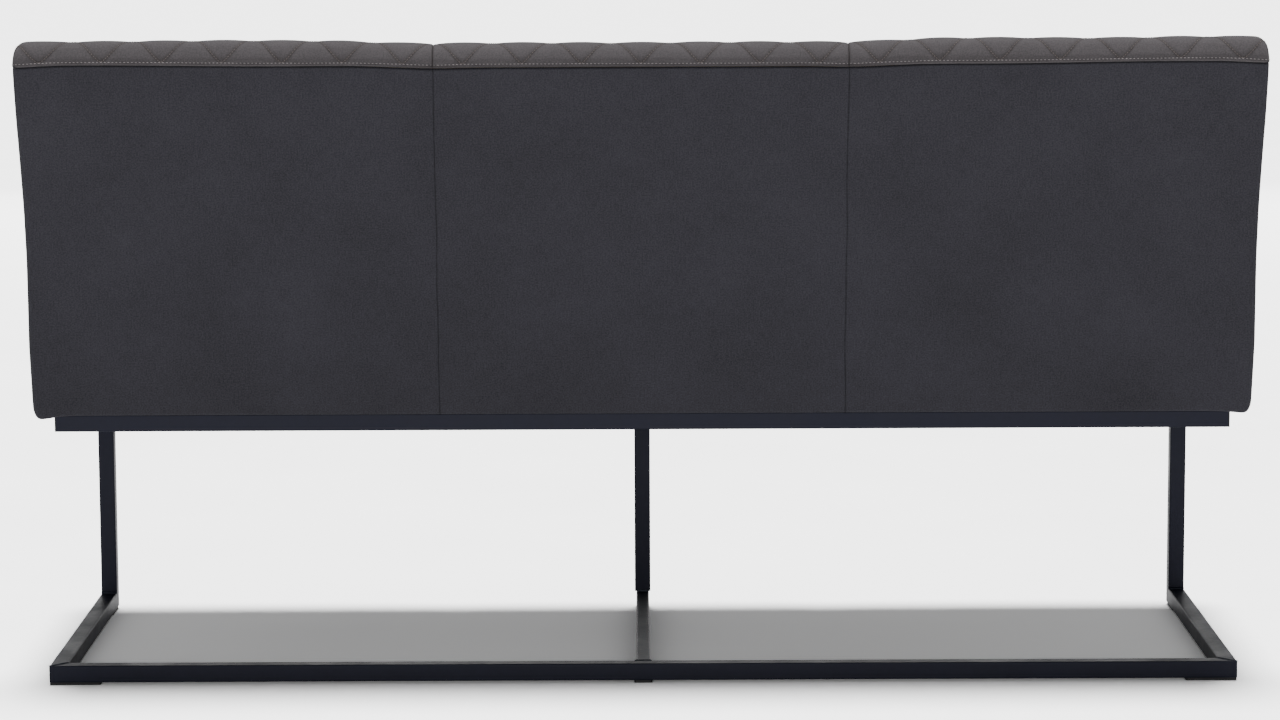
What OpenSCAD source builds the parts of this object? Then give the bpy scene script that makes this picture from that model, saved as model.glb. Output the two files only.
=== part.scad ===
/* [Steel base] */
// Width over the floor frame and the seat frame
frame_w = 1744; // [1200:2:2400]
// Depth over the floor frame
floor_d = 590; // [540:2:680]
// Height of the seat frame's top above the floor
base_h = 385; // [340:1:420]
// How far the seat frame's rear bar lies in front of the floor frame's rear
rear_setback = 109; // [90:1:130]
// Side of the square tube
tube = 25; // [20:1:30]
// Wall of the tube
tube_wall = 2; // [1.5:0.5:3]
// Outer corner radius of the tube
tube_corner = 1.8; // [1:0.1:2.5]
// Width of the middle runner, which is narrower than the rest
middle_runner_w = 20; // [15:1:20]
// Leg of a weld bead
weld_leg = 3; // [2:0.5:4]
// Thickness of a tube end cap's plate
cap_plate = 2; // [1.5:0.5:3]
// Length of an end cap's plug inside the tube
cap_plug = 12; // [8:1:20]

/* [Glides] */
// Height of a glide
glide_h = 4; // [3:0.5:8]
// Length of a glide under a rear corner
corner_glide = 75; // [50:1:100]
// Length of the glide under the middle of the rear tube
middle_glide = 27; // [20:1:40]
// Length of a glide under the front of a runner
front_glide = 60; // [40:1:80]
// How far a glide lies inside the sides of its tube
glide_inset = 1.5; // [1:0.5:2]
// Corner radius of a glide
glide_corner = 3; // [1:0.5:5]

/* [Seat] */
// How far the cushions run out past the frame on each side
side_overhang = 28; // [20:1:34]
// How far the seat runs out in front of the uprights
seat_overhang = 45; // [30:1:60]
// Height of the timber rails
rail_h = 45; // [38:1:60]
// Width of the timber rails
rail_w = 44; // [38:1:50]
// Thickness of the firm foam on the webbing
seat_foam_t = 30; // [20:1:50]
// Thickness of the seat pads
seat_pad_t = 30; // [24:1:36]
// Rise of the seat from its front and back to its middle
seat_crown = 6; // [2:1:12]
// Radius of the seat's rounded front edge
seat_roll = 40; // [38:1:60]
// Number of webbing straps from front to back
strap_count = 9; // [6:1:12]
// Number of webbing straps along the seat
long_strap_count = 3; // [2:1:4]
// Width of a webbing strap
strap_w = 60; // [40:1:70]
// Thickness of a webbing strap
strap_t = 1.5; // [1:0.5:2.5]
// Thickness of the dust cover under the seat
dust_t = 1; // [0.5:0.5:1.5]

/* [Back] */
// Height of the back's top above the crown of the seat
back_rise = 437; // [360:1:520]
// Depth of the back at its top
back_t = 80; // [78:1:110]
// How far the back's rear leans out from its foot to the welt
back_lean = 94; // [40:1:120]
// Lean of the front of the back, in degrees
front_lean = 13; // [10:0.5:15]
// How far the welt across the rear lies below the top
welt_drop = 36; // [30:1:38]
// Radius of the back's rounded front top edge
top_roll = 42; // [30:1:44]
// How far the foot of the back lies behind the seat frame's rear bar
foot_overhang = 12; // [8:1:16]
// How far the cover hangs down past the top of the seat frame
skirt = 4; // [2:1:8]
// Thickness of the quilted back pads
back_pad_t = 20; // [16:1:22]
// Thickness of the foam sheet behind the back pads
back_foam_t = 24; // [16:1:26]
// Thickness of the board behind the foam
board_t = 4; // [3:0.5:6]
// Thickness of the timber posts
post_t = 28; // [18:1:40]
// How far the underside of the top rail lies below the welt
top_rail_drop = 4; // [2:1:12]

/* [Covers] */
// Width of a quilted diamond
diamond_w = 86; // [60:1:120]
// Height of a quilted diamond
diamond_h = 134; // [90:1:180]
// Depth of the stitched channels between the diamonds
quilt_depth = 6; // [2:0.5:8]
// Radius of the pads' rounded outer ends
end_roll = 14; // [8:1:15]
// Depth to which the pads are drawn in along their seams
seam_depth = 6; // [2:0.5:8]
// Reach of a seam's dip to each side
seam_reach = 26; // [15:1:40]
// Thickness of the plain rear panels
panel_t = 5; // [4:0.5:8]
// Thickness of the side panels
side_t = 6; // [4:0.5:8]
// How far the side panels lie inside the ends of the pads
side_recess = 2; // [1:0.5:4]

/* [Fasteners] */
// Radius of a frame bolt
bolt_r = 3; // [2.5:0.5:4]
// Radius of a frame bolt's head
bolt_head_r = 5; // [4.5:0.5:6]
// Height of a frame bolt's head
bolt_head_h = 6; // [4:1:8]
// Width across the corners of the bolt's hexagon socket
bolt_socket = 5.6; // [4:0.2:6]
// Distance from the ends of an arm to its bolts
bolt_inset = 75; // [60:1:100]
// Outer radius of a bolt's washer
washer_r = 6.5; // [6.5:0.5:9]
// Thickness of a bolt's washer
washer_t = 1.6; // [1:0.2:2]
// Outer radius of a threaded insert
insert_r = 5; // [4.8:0.2:7]
// Length of a threaded insert
insert_len = 18; // [10:1:25]
// Radius of a post screw
screw_r = 2.5; // [2:0.5:3]
// Radius of a post screw's head
screw_head_r = 5; // [4:0.5:6]
// Height of a post screw's head
screw_head_h = 3; // [2:0.5:4]
// Length of a post screw's shank
screw_len = 50; // [45:1:60]

/* [Hidden] */

$fn = 32;
deg = 180 / PI;
// Running gap between pieces that lie against each other
gap = 0.3;
// Clearance round a bolt, an insert or a screw
bore_gap = 0.1;
// Clearance of the bolts in the tubes and the dust cover
hole_gap = 0.5;
// How far a cut runs past the piece it cuts
overrun = 5;

// Widths: the cushions, one of the three panels, and the inside of the side panels
body_w = frame_w + 2 * side_overhang;
panel_w = body_w / 3;
inside_x = body_w / 2 - side_recess - side_t - gap;

// Depths: the origin lies under the middle of the whole bench
floor_back = (floor_d + seat_overhang) / 2;
floor_front = floor_back - floor_d;
seat_front = floor_front - seat_overhang;
bar_back = floor_back - rear_setback;
bar_front = bar_back - tube;
foot_back = bar_back + foot_overhang;

// Heights, from the floor up
floor_top = glide_h + tube;
arm_low = base_h - tube;
cover_low = base_h - skirt;
rail_low = base_h + dust_t;
rail_top = rail_low + rail_h;
deck_z = rail_top + 2 * strap_t;
seat_pad_low = deck_z + seat_foam_t;
seat_edge_z = seat_pad_low + seat_pad_t;
seat_h = seat_edge_z + seat_crown;
back_h = seat_h + back_rise;
welt_z = back_h - welt_drop;

// The rear of the back: how far along its height, and how evenly it leans out
lean_share = 0.55;
function rear_share(z) = (z - cover_low) / (welt_z - cover_low);
function rear_y(z) = let (t = rear_share(z))
    foot_back + back_lean * (lean_share * t + (1 - lean_share) * t * t);
function rear_angle(z) = let (t = rear_share(z))
    -atan(back_lean * (lean_share + 2 * (1 - lean_share) * t) / (welt_z - cover_low));

// The back's top: a small roll up from the welt, a short flat and a larger roll down to the front
welt_angle = rear_angle(welt_z);
rear_roll = welt_drop / (1 - sin(welt_angle));
rear_roll_y = rear_y(welt_z) - rear_roll * cos(welt_angle);
rear_roll_z = welt_z - rear_roll * sin(welt_angle);
front_roll_y = rear_roll_y + rear_roll - back_t + top_roll;
front_roll_z = back_h - top_roll;
rear_roll_len = rear_roll * (90 - welt_angle) / deg;
top_flat_len = rear_roll_y - front_roll_y;
front_roll_len = top_roll * (90 - front_lean) / deg;
roll_len = rear_roll_len + top_flat_len + front_roll_len;
front_top_y = front_roll_y - top_roll * cos(front_lean);
front_top_z = front_roll_z + top_roll * sin(front_lean);
back_len = roll_len + (front_top_z - seat_pad_low) / cos(front_lean);

// Front of the back at a height
function front_y(z) = front_top_y - (front_top_z - z) * tan(front_lean);

// Outlines in the plane across the bench: [y, z, angle of the outward normal] at a length s
function rear_line(s) = [rear_y(cover_low + s), cover_low + s, rear_angle(cover_low + s)];
function back_line(s) =
    s < rear_roll_len ? roll_point(rear_roll_y, rear_roll_z, rear_roll, welt_angle + s / rear_roll * deg)
    : s < rear_roll_len + top_flat_len ? [rear_roll_y - (s - rear_roll_len), back_h, 90]
    : s < roll_len ? roll_point(front_roll_y, front_roll_z, top_roll,
        90 + (s - rear_roll_len - top_flat_len) / top_roll * deg)
    : [front_top_y - (s - roll_len) * sin(front_lean), front_top_z - (s - roll_len) * cos(front_lean),
        180 - front_lean];
function roll_point(y, z, r, a) = [y + r * cos(a), z + r * sin(a), a];

// The seat's outline: from the back over a flat crown and the front edge down to the skirt
seat_back = front_y(seat_pad_low) - gap;
seat_top_len = seat_back - seat_front - seat_roll;
seat_roll_len = seat_roll * 90 / deg;
seat_len = seat_top_len + seat_roll_len + seat_edge_z - seat_roll - cover_low;
function seat_line(s) =
    s < seat_top_len ? [seat_back - s, seat_h - seat_crown * pow(2 * s / seat_top_len - 1, 2), 90]
    : s < seat_top_len + seat_roll_len ? roll_point(seat_front + seat_roll, seat_edge_z - seat_roll,
        seat_roll, 90 + (s - seat_top_len) / seat_roll * deg)
    : [seat_front, seat_edge_z - seat_roll - (s - seat_top_len - seat_roll_len), 180];

// A point moved in from an outline
function inset(p, t) = [p[0] - t * cos(p[2]), p[1] - t * sin(p[2])];

// The dip of a seam at a distance from it
function dip(d) = seam_depth * exp(-pow(2 * d / seam_reach, 2));

// Cloth across an outer panel, f from its seam, with a rounded outer end of radius r: its length, how
// far out f lies, and how far it has dropped there
function cloth_len(r) = panel_w - r + r * PI / 2;
function cloth_angle(f, r) = max(0, f - panel_w + r) / r * deg;
function cloth_out(f, r) = min(f, panel_w - r) + r * sin(cloth_angle(f, r));
function cloth_drop(f, r) = r * (1 - cos(cloth_angle(f, r)));

// Quilting: diamonds across a panel and rows along the back, each in a few steps of the mesh
quilt_steps = 6;
diamond_cols = round(panel_w / diamond_w);
diamond_rows = round(back_len / diamond_h);
// Height of the quilting at u widths and v heights of a diamond: none on a channel, full inside
function puff(u, v) = sqrt(abs(cos(180 * (u + v)) * cos(180 * (u - v))));

// Widths and lengths of the mesh in steps, on the plain pads
seat_cols = 10;
seat_rows = 12;
rear_cols = 6;
rear_rows = 8;

// Colours
steel = [0.13, 0.14, 0.17];
plastic = [0.06, 0.06, 0.07];
zinc = [0.62, 0.63, 0.64];
pine = [0.80, 0.66, 0.46];
plywood = [0.74, 0.60, 0.42];
foam = [0.88, 0.86, 0.72];
web = [0.20, 0.20, 0.20];
quilted = [0.36, 0.35, 0.35];
plain = [0.23, 0.23, 0.25];

// A block between two corners
module block(low, high) {
    translate(low) cube(high - low);
}

// An outline in y and z, drawn out along x from x0 for a width w
module across(points, x0, w) {
    translate([x0, 0, 0]) rotate([90, 0, 90]) linear_extrude(w) polygon(points);
}

// A rectangle with rounded corners, round the origin
module rounded(w, d, r) {
    square([w - 2 * r, d], center = true);
    square([w, d - 2 * r], center = true);
    for (x = [-1, 1], y = [-1, 1])
        translate([x * (w / 2 - r), y * (d / 2 - r)]) circle(r);
}

// A rectangular tube from the origin up
module tube_up(w, d, len) {
    linear_extrude(len) difference() {
        rounded(w, d, tube_corner);
        square([w - 2 * tube_wall, d - 2 * tube_wall], center = true);
    }
}

// Tubes along x and along y, centred on x, y and z at their near end
module tube_x(len) {
    rotate([90, 0, 90]) tube_up(tube, tube, len);
}
module tube_y(len, w) {
    rotate([-90, 0, 0]) tube_up(w, tube, len);
}

// The floor frame, mitred at its rear corners and up into the uprights
module floor_rear_tube() {
    color(steel) intersection() {
        translate([-frame_w / 2, floor_back - tube / 2, glide_h + tube / 2]) tube_x(frame_w);
        linear_extrude(base_h) polygon([[-frame_w / 2, floor_back], [frame_w / 2, floor_back],
            [frame_w / 2 - tube, floor_back - tube], [-frame_w / 2 + tube, floor_back - tube]]);
    }
}

module floor_runner(side) {
    color(steel) intersection() {
        translate([side * (frame_w - tube) / 2, floor_front, glide_h + tube / 2]) tube_y(floor_d, tube);
        linear_extrude(base_h) polygon([[side * frame_w / 2, floor_front], [side * frame_w / 2, floor_back],
            [side * (frame_w / 2 - tube), floor_back - tube], [side * (frame_w / 2 - tube), floor_front]]);
        across([[floor_front, glide_h], [floor_back, glide_h], [floor_back, floor_top],
            [floor_front + tube, floor_top]], -frame_w, 2 * frame_w);
    }
}

module floor_runner_left() {
    floor_runner(-1);
}
module floor_runner_right() {
    floor_runner(1);
}
module floor_runner_middle() {
    color(steel) translate([0, floor_front + cap_plate, glide_h + tube / 2])
        tube_y(floor_d - tube - cap_plate, middle_runner_w);
}

// The uprights: the outer two mitred at both ends, the middle one between runner and front bar
module upright(side) {
    color(steel) intersection() {
        translate([side * (frame_w - tube) / 2, floor_front + tube / 2, glide_h])
            tube_up(tube, tube, base_h - glide_h);
        across([[floor_front, glide_h], [floor_front + tube, floor_top], [floor_front + tube, arm_low],
            [floor_front, base_h]], -frame_w, 2 * frame_w);
    }
}

module upright_left() {
    upright(-1);
}
module upright_right() {
    upright(1);
}
module upright_middle() {
    color(steel) translate([0, floor_front + tube / 2, floor_top]) tube_up(tube, tube, arm_low - floor_top);
}

// The seat frame: arms back from the uprights, a bar between them and a bar across their ends
bolt_ys = [floor_front + bolt_inset, bar_front - bolt_inset];
arm_xs = [-(frame_w - tube) / 2, 0, (frame_w - tube) / 2];

// Round holes through an arm or the dust cover for the frame bolts
module bolt_holes(x, low, high, r) {
    for (y = bolt_ys) translate([x, y, low - overrun]) cylinder(high - low + 2 * overrun, r = r);
}

module side_arm(side) {
    x = side * (frame_w - tube) / 2;
    color(steel) difference() {
        intersection() {
            translate([x, floor_front, base_h - tube / 2]) tube_y(bar_front - floor_front, tube);
            across([[floor_front, base_h], [floor_front + tube, arm_low], [bar_front, arm_low],
                [bar_front, base_h]], -frame_w, 2 * frame_w);
        }
        bolt_holes(x, arm_low, base_h, bolt_r + hole_gap);
    }
}

module seat_arm_left() {
    side_arm(-1);
}
module seat_arm_right() {
    side_arm(1);
}
module seat_arm_middle() {
    color(steel) difference() {
        translate([0, floor_front + tube, base_h - tube / 2]) tube_y(bar_front - floor_front - tube, tube);
        bolt_holes(0, arm_low, base_h, bolt_r + hole_gap);
    }
}
module seat_front_bar() {
    color(steel) translate([-frame_w / 2 + tube, floor_front + tube / 2, base_h - tube / 2])
        tube_x(frame_w - 2 * tube);
}
module seat_rear_bar() {
    color(steel) translate([-frame_w / 2 + cap_plate, bar_back - tube / 2, base_h - tube / 2])
        tube_x(frame_w - 2 * cap_plate);
}

// Weld beads in the inner corners: upright ones, and ones along x, each with the side it lies to
module bead_up(x, y, z, sx, sy) {
    translate([x, y, z]) linear_extrude(tube)
        polygon([[0, 0], [sx * weld_leg, 0], [0, sy * weld_leg]]);
}
module bead_along(x, y, z, w, sz) {
    translate([x - w / 2, y, z]) rotate([90, 0, 90]) linear_extrude(w)
        polygon([[0, 0], [weld_leg, 0], [0, sz * weld_leg]]);
}

module weld_beads() {
    inner_x = frame_w / 2 - tube;
    color(steel) {
        for (s = [-1, 1]) {
            bead_up(s * inner_x, floor_back - tube, glide_h, -s, -1);
            bead_up(s * middle_runner_w / 2, floor_back - tube, glide_h, s, -1);
            bead_up(s * inner_x, bar_front, arm_low, -s, -1);
            bead_up(s * tube / 2, bar_front, arm_low, s, -1);
            bead_up(s * inner_x, floor_front + tube, arm_low, -s, 1);
            bead_up(s * tube / 2, floor_front + tube, arm_low, s, 1);
        }
        for (x = arm_xs) bead_along(x, floor_front + tube, arm_low, tube, -1);
        for (x = [arm_xs[0], arm_xs[2]]) bead_along(x, floor_front + tube, floor_top, tube, 1);
        bead_along(0, floor_front + tube, floor_top, middle_runner_w, 1);
    }
}

// End caps, plate at the origin and plug up: on the rear bar and on the middle runner
module end_cap(w) {
    plug_w = w - 2 * tube_wall - 2 * gap;
    plug_d = tube - 2 * tube_wall - 2 * gap;
    linear_extrude(cap_plate) rounded(w, tube, tube_corner);
    translate([-plug_w / 2, -plug_d / 2, 0]) cube([plug_w, plug_d, cap_plate + cap_plug]);
}

module tube_end_caps() {
    color(plastic) {
        for (s = [-1, 1])
            translate([s * frame_w / 2, bar_back - tube / 2, base_h - tube / 2])
                rotate([0, -s * 90, 0]) end_cap(tube);
        translate([0, floor_front, glide_h + tube / 2]) rotate([-90, 0, 0]) end_cap(middle_runner_w);
    }
}

// Glides: pads under the rear tube and under the fronts of the runners
module glide(x, y, w, d) {
    color(plastic) translate([x, y, 0]) linear_extrude(glide_h) rounded(w, d, glide_corner);
}
module rear_glide(x, w) {
    glide(x, floor_back - tube / 2, w, tube - 2 * glide_inset);
}
module rear_glide_left() {
    rear_glide(-(frame_w - corner_glide) / 2, corner_glide);
}
module rear_glide_middle() {
    rear_glide(0, middle_glide);
}
module rear_glide_right() {
    rear_glide((frame_w - corner_glide) / 2, corner_glide);
}
module front_glides() {
    y = floor_front + glide_inset + front_glide / 2;
    for (x = [arm_xs[0], arm_xs[2]]) glide(x, y, tube - 2 * glide_inset, front_glide);
    glide(0, y, middle_runner_w - 2 * glide_inset, front_glide);
}

// Frame bolts up through the arms into threaded inserts in the rails
module at_bolts() {
    for (x = arm_xs, y = bolt_ys) translate([x, y, arm_low]) children();
}

module frame_bolts() {
    color(zinc) at_bolts() translate([0, 0, -washer_t]) difference() {
        union() {
            cylinder(washer_t + tube + dust_t + insert_len, r = bolt_r);
            translate([0, 0, -bolt_head_h]) cylinder(bolt_head_h, r = bolt_head_r);
        }
        translate([0, 0, -bolt_head_h - overrun])
            cylinder(bolt_head_h / 2 + overrun, d = bolt_socket, $fn = 6);
    }
}

module bolt_washers() {
    color(zinc) at_bolts() translate([0, 0, -washer_t]) difference() {
        cylinder(washer_t, r = washer_r);
        translate([0, 0, -overrun]) cylinder(washer_t + 2 * overrun, r = bolt_r + bore_gap);
    }
}

module threaded_inserts() {
    color(zinc) at_bolts() translate([0, 0, tube + dust_t]) difference() {
        cylinder(insert_len, r = insert_r);
        translate([0, 0, -overrun]) cylinder(insert_len + 2 * overrun, r = bolt_r + bore_gap);
    }
}

// Blind holes for the inserts in the underside of a rail
module insert_holes(x) {
    for (y = bolt_ys) translate([x, y, rail_low - overrun])
        cylinder(insert_len + bore_gap + overrun, r = insert_r + bore_gap);
}

// The dust cover, stretched under the rails
module dust_cover() {
    color(web) difference() {
        block([-inside_x, seat_front + seat_pad_t + gap, base_h], [inside_x, bar_back, rail_low]);
        for (x = arm_xs) bolt_holes(x, base_h, rail_low, bolt_r + hole_gap);
    }
}

// The timber seat frame: rails all round, cross rails under the seams and the middle
front_rail_y = seat_front + seat_pad_t + gap;
post_front = front_y(rail_top) + (back_pad_t + back_foam_t + board_t + 3 * gap) / cos(front_lean);
rear_rail_y = post_front - rail_w;
post_xs = [-inside_x + post_t / 2, -panel_w / 2, panel_w / 2, inside_x - post_t / 2];
screw_z_shares = [0.28, 0.72];
screw_seat = post_front + screw_len / 2;

module screw_holes() {
    for (x = post_xs, share = screw_z_shares)
        translate([x, screw_seat, rail_low + share * rail_h]) rotate([90, 0, 0])
            cylinder(screw_len + bore_gap, r = screw_r + bore_gap);
}

module seat_rail_front() {
    color(pine) block([-inside_x, front_rail_y, rail_low], [inside_x, front_rail_y + rail_w, rail_top]);
}
module seat_rail_rear() {
    color(pine) difference() {
        block([-inside_x, rear_rail_y, rail_low], [inside_x, post_front, rail_top]);
        screw_holes();
    }
}
module side_rail(side) {
    x = side * (inside_x - rail_w / 2);
    color(pine) difference() {
        block([x - rail_w / 2, front_rail_y + rail_w, rail_low], [x + rail_w / 2, rear_rail_y, rail_top]);
        insert_holes(side * (frame_w - tube) / 2);
    }
}
module seat_rail_left() {
    side_rail(-1);
}
module seat_rail_right() {
    side_rail(1);
}
module seat_cross_rails() {
    color(pine) difference() {
        for (x = [-panel_w / 2, 0, panel_w / 2])
            block([x - rail_w / 2, front_rail_y + rail_w, rail_low],
                [x + rail_w / 2, rear_rail_y, rail_top]);
        insert_holes(0);
    }
}

// Glued blocks in the corners of the seat frame, as long as the rails are wide
module corner_blocks() {
    x = inside_x - rail_w;
    leg = 1.5 * rail_w;
    color(pine) translate([0, 0, rail_low]) linear_extrude(rail_h) for (s = [-1, 1]) {
        polygon([[s * x, front_rail_y + rail_w], [s * (x - leg), front_rail_y + rail_w],
            [s * x, front_rail_y + rail_w + leg]]);
        polygon([[s * x, rear_rail_y], [s * (x - leg), rear_rail_y], [s * x, rear_rail_y - leg]]);
    }
}

// Webbing: straps from the front rail to the rear rail, and straps along the seat on top of them
module seat_webbing() {
    strap_front = front_rail_y + rail_w / 2;
    strap_back = rear_rail_y + rail_w / 2;
    reach = inside_x - rail_w / 2;
    step = 2 * (inside_x - rail_w) / strap_count;
    long_step = (rear_rail_y - front_rail_y - rail_w) / long_strap_count;
    color(web) {
        for (i = [0:strap_count - 1]) {
            x = (i - (strap_count - 1) / 2) * step;
            block([x - strap_w / 2, strap_front, rail_top], [x + strap_w / 2, strap_back, rail_top + strap_t]);
        }
        for (i = [0:long_strap_count - 1]) {
            y = front_rail_y + rail_w + (i + 0.5) * long_step;
            block([-reach, y - strap_w / 2, rail_top + strap_t], [reach, y + strap_w / 2, deck_z]);
        }
    }
}

// Firm seat foam, rounded under the front edge of the pads and cut to the lean of the back
module seat_foam() {
    t = seat_pad_t + gap;
    top = [for (i = [0:seat_rows]) inset(seat_line(i / seat_rows * (seat_top_len + seat_roll_len)), t)];
    behind = (back_pad_t - gap) / cos(front_lean);
    low = [[seat_front + t, deck_z], [front_y(deck_z) + behind, deck_z],
        [front_y(seat_pad_low - gap) + behind, seat_pad_low - gap]];
    color(foam) across(concat(top, low), -inside_x, 2 * inside_x);
}

// The back's posts, cut from plywood: straight in front, curved behind to carry the rear panels
post_top = welt_z - top_rail_drop;
module post(x) {
    lean_depth = back_pad_t + back_foam_t + board_t + 3 * gap;
    front_x = lean_depth / cos(front_lean);
    t = panel_t + gap;
    steps = 10;
    behind = [for (i = [0:steps]) let (s = i / steps * (post_top - rail_low) + rail_low - cover_low)
        inset(rear_line(s), t)];
    head = [front_y(post_top) + front_x, behind[steps][1]];
    color(plywood) difference() {
        across(concat(behind, [head, [post_front, rail_top], [post_front, rail_low]]), x - post_t / 2, post_t);
        screw_holes();
        for (share = screw_z_shares)
            translate([x, rear_y(rail_top), rail_low + share * rail_h]) rotate([90, 0, 0])
                cylinder(rear_y(rail_top) - screw_seat, r = screw_head_r + bore_gap);
    }
}
module back_post_left() {
    post(post_xs[0]);
}
module back_post_inner_left() {
    post(post_xs[1]);
}
module back_post_inner_right() {
    post(post_xs[2]);
}
module back_post_right() {
    post(post_xs[3]);
}

// Screws through the feet of the posts into the rear rail
module post_screws() {
    color(zinc) for (x = post_xs, share = screw_z_shares)
        translate([x, screw_seat, rail_low + share * rail_h]) rotate([90, 0, 0]) {
            cylinder(screw_len, r = screw_r);
            translate([0, 0, -screw_head_h]) cylinder(screw_head_h, r = screw_head_r);
        }
}

// The top rail, shaped to the inside of the pads' roll
module back_top_rail() {
    t = back_pad_t + gap;
    steps = 16;
    cap = [for (i = [0:steps]) inset(back_line(i / steps * roll_len), t)];
    color(pine) across(concat(cap, [[cap[steps][0], post_top], [cap[0][0], post_top]]),
        -inside_x, 2 * inside_x);
}

// A sheet that leans with the front of the back, from a depth behind it
module leaning(depth, t) {
    low = (depth + t) * tan(front_lean);
    high = (post_top - gap - deck_z) / cos(front_lean);
    translate([0, front_y(deck_z), deck_z]) rotate([-front_lean, 0, 0])
        block([-inside_x, depth, low], [inside_x, depth + t, high]);
}
module back_foam() {
    color(foam) leaning(back_pad_t + gap, back_foam_t);
}
module back_board() {
    color(plywood) leaning(back_pad_t + back_foam_t + 2 * gap, board_t);
}

// A padded piece on an outline. Columns run across the bench, rows along the outline; side is -1 for
// the left panel, 0 for the middle one and 1 for the right one. r is the radius of a rounded outer end,
// t the thickness, and drop gives how far the cover is drawn in at f across the cloth and s along it.
module pad(side, line, len, cols, rows, r, t, drop) {
    near = gap / 2;
    far = side == 0 ? panel_w - gap / 2 : cloth_len(r);
    function across_f(share) = near + (far - near) * (side < 0 ? 1 - share : share);
    function across_x(f) = side == 0 ? f - panel_w / 2 : side * (panel_w / 2 + cloth_out(f, r));
    function end_drop(f) = side == 0 ? 0 : cloth_drop(f, r);
    cover = [for (i = [0:cols], j = [0:rows])
        let (f = across_f(i / cols), s = len * j / rows,
            p = inset(line(s), min(end_drop(f) + drop(f, s), t - gap)))
        [across_x(f), p[0], p[1]]];
    underside = [for (e = [0, 1], j = [0:rows])
        let (p = inset(line(len * j / rows), t))
        [across_x(across_f(e)), p[0], p[1]]];
    n = rows + 1;
    base = (cols + 1) * n;
    mid = floor(cols / 2);
    faces = concat(
        [for (i = [0:cols - 1], j = [0:rows - 1], k = [0, 1])
            let (a = i * n + j, b = a + n, c = b + 1, d = a + 1,
                along = (i + j + quilt_steps / 2) % 2 == 0)
            along ? (k == 0 ? [a, b, c] : [a, c, d]) : (k == 0 ? [a, b, d] : [b, c, d])],
        [for (j = [0:rows - 1], k = [0, 1]) let (a = base + j, b = a + n)
            k == 0 ? [a, a + 1, b + 1] : [a, b + 1, b]],
        [for (j = [0:rows - 1], k = [0, 1]) let (a = j, b = base + j)
            k == 0 ? [a, a + 1, b + 1] : [a, b + 1, b]],
        [for (j = [0:rows - 1], k = [0, 1]) let (a = cols * n + j, b = base + n + j)
            k == 0 ? [a + 1, a, b] : [a + 1, b, b + 1]],
        [for (i = [0:cols - 1]) [(i + 1) * n, i * n, base + (i < mid ? 0 : n)]],
        [[mid * n, base, base + n]],
        [for (i = [0:cols - 1]) [i * n + rows, (i + 1) * n + rows, base + (i < mid ? 0 : n) + rows]],
        [[mid * n + rows, base + n + rows, base + rows]]);
    polyhedron(concat(cover, underside), faces);
}

// Drop at the two sides of a panel: both are seams on the middle one, one is on the outer ones
function seams(side, f) = dip(f) + (side == 0 ? dip(panel_w - f) : 0);

// Seat pads: crowned across, drawn in at the seams, at the back and along the lower edge
module seat_cushion(side) {
    color(quilted) pad(side, function(s) seat_line(s), seat_len, seat_cols, seat_rows, end_roll,
        seat_pad_t, function(f, s) seams(side, f) + dip(s) + dip(seat_len - s));
}
module seat_cushion_left() {
    seat_cushion(-1);
}
module seat_cushion_middle() {
    seat_cushion(0);
}
module seat_cushion_right() {
    seat_cushion(1);
}

// Back pads: quilted in diamonds whose lower points meet the welt, and drawn in along every seam
module back_cushion(side) {
    cloth = side == 0 ? panel_w : cloth_len(end_roll);
    color(quilted) pad(side, function(s) back_line(s), back_len, diamond_cols * quilt_steps,
        diamond_rows * quilt_steps, end_roll, back_pad_t,
        function(f, s) seams(side, f) / 2 + dip(s) / 2
            + quilt_depth * (1 - puff(f / cloth * diamond_cols, s / back_len * diamond_rows)));
}
module back_cushion_left() {
    back_cushion(-1);
}
module back_cushion_middle() {
    back_cushion(0);
}
module back_cushion_right() {
    back_cushion(1);
}

// Plain rear panels, from the welt down past the seat frame
module rear_panel(side) {
    len = welt_z - cover_low - gap;
    fullness = panel_t / seam_depth / 2;
    color(plain) pad(side, function(s) rear_line(s), len, rear_cols, rear_rows, 0.8 * panel_t,
        panel_t, function(f, s) fullness * (seams(side, f) + dip(len - s)));
}
module rear_panel_left() {
    rear_panel(-1);
}
module rear_panel_middle() {
    rear_panel(0);
}
module rear_panel_right() {
    rear_panel(1);
}

// Side panels: one between the rear panel and the back pad, one under the end of the seat pad
module back_side(side) {
    t = back_pad_t + gap;
    steps = 12;
    behind = [for (i = [0:steps]) inset(rear_line(i / steps * (post_top - cover_low)), panel_t + gap)];
    cap = [for (i = [0:steps]) inset(back_line(i / steps * roll_len), t)];
    foot = [front_y(cover_low) + t / cos(front_lean), cover_low];
    color(plain) across(concat(behind, cap, [foot]),
        side * (body_w / 2 - side_recess - side_t / 2) - side_t / 2, side_t);
}
module back_side_left() {
    back_side(-1);
}
module back_side_right() {
    back_side(1);
}

module seat_side(side) {
    t = seat_pad_t + gap;
    steps = 6;
    behind = back_pad_t / cos(front_lean);
    roll = [for (i = [0:steps]) inset(seat_line(seat_top_len + i / steps * seat_roll_len), t)];
    color(plain) across(concat(roll, [[seat_front + t, cover_low], [front_y(cover_low) + behind, cover_low],
        [front_y(seat_pad_low - gap) + behind, seat_pad_low - gap]]),
        side * (body_w / 2 - side_recess - side_t / 2) - side_t / 2, side_t);
}
module seat_side_left() {
    seat_side(-1);
}
module seat_side_right() {
    seat_side(1);
}

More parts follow.
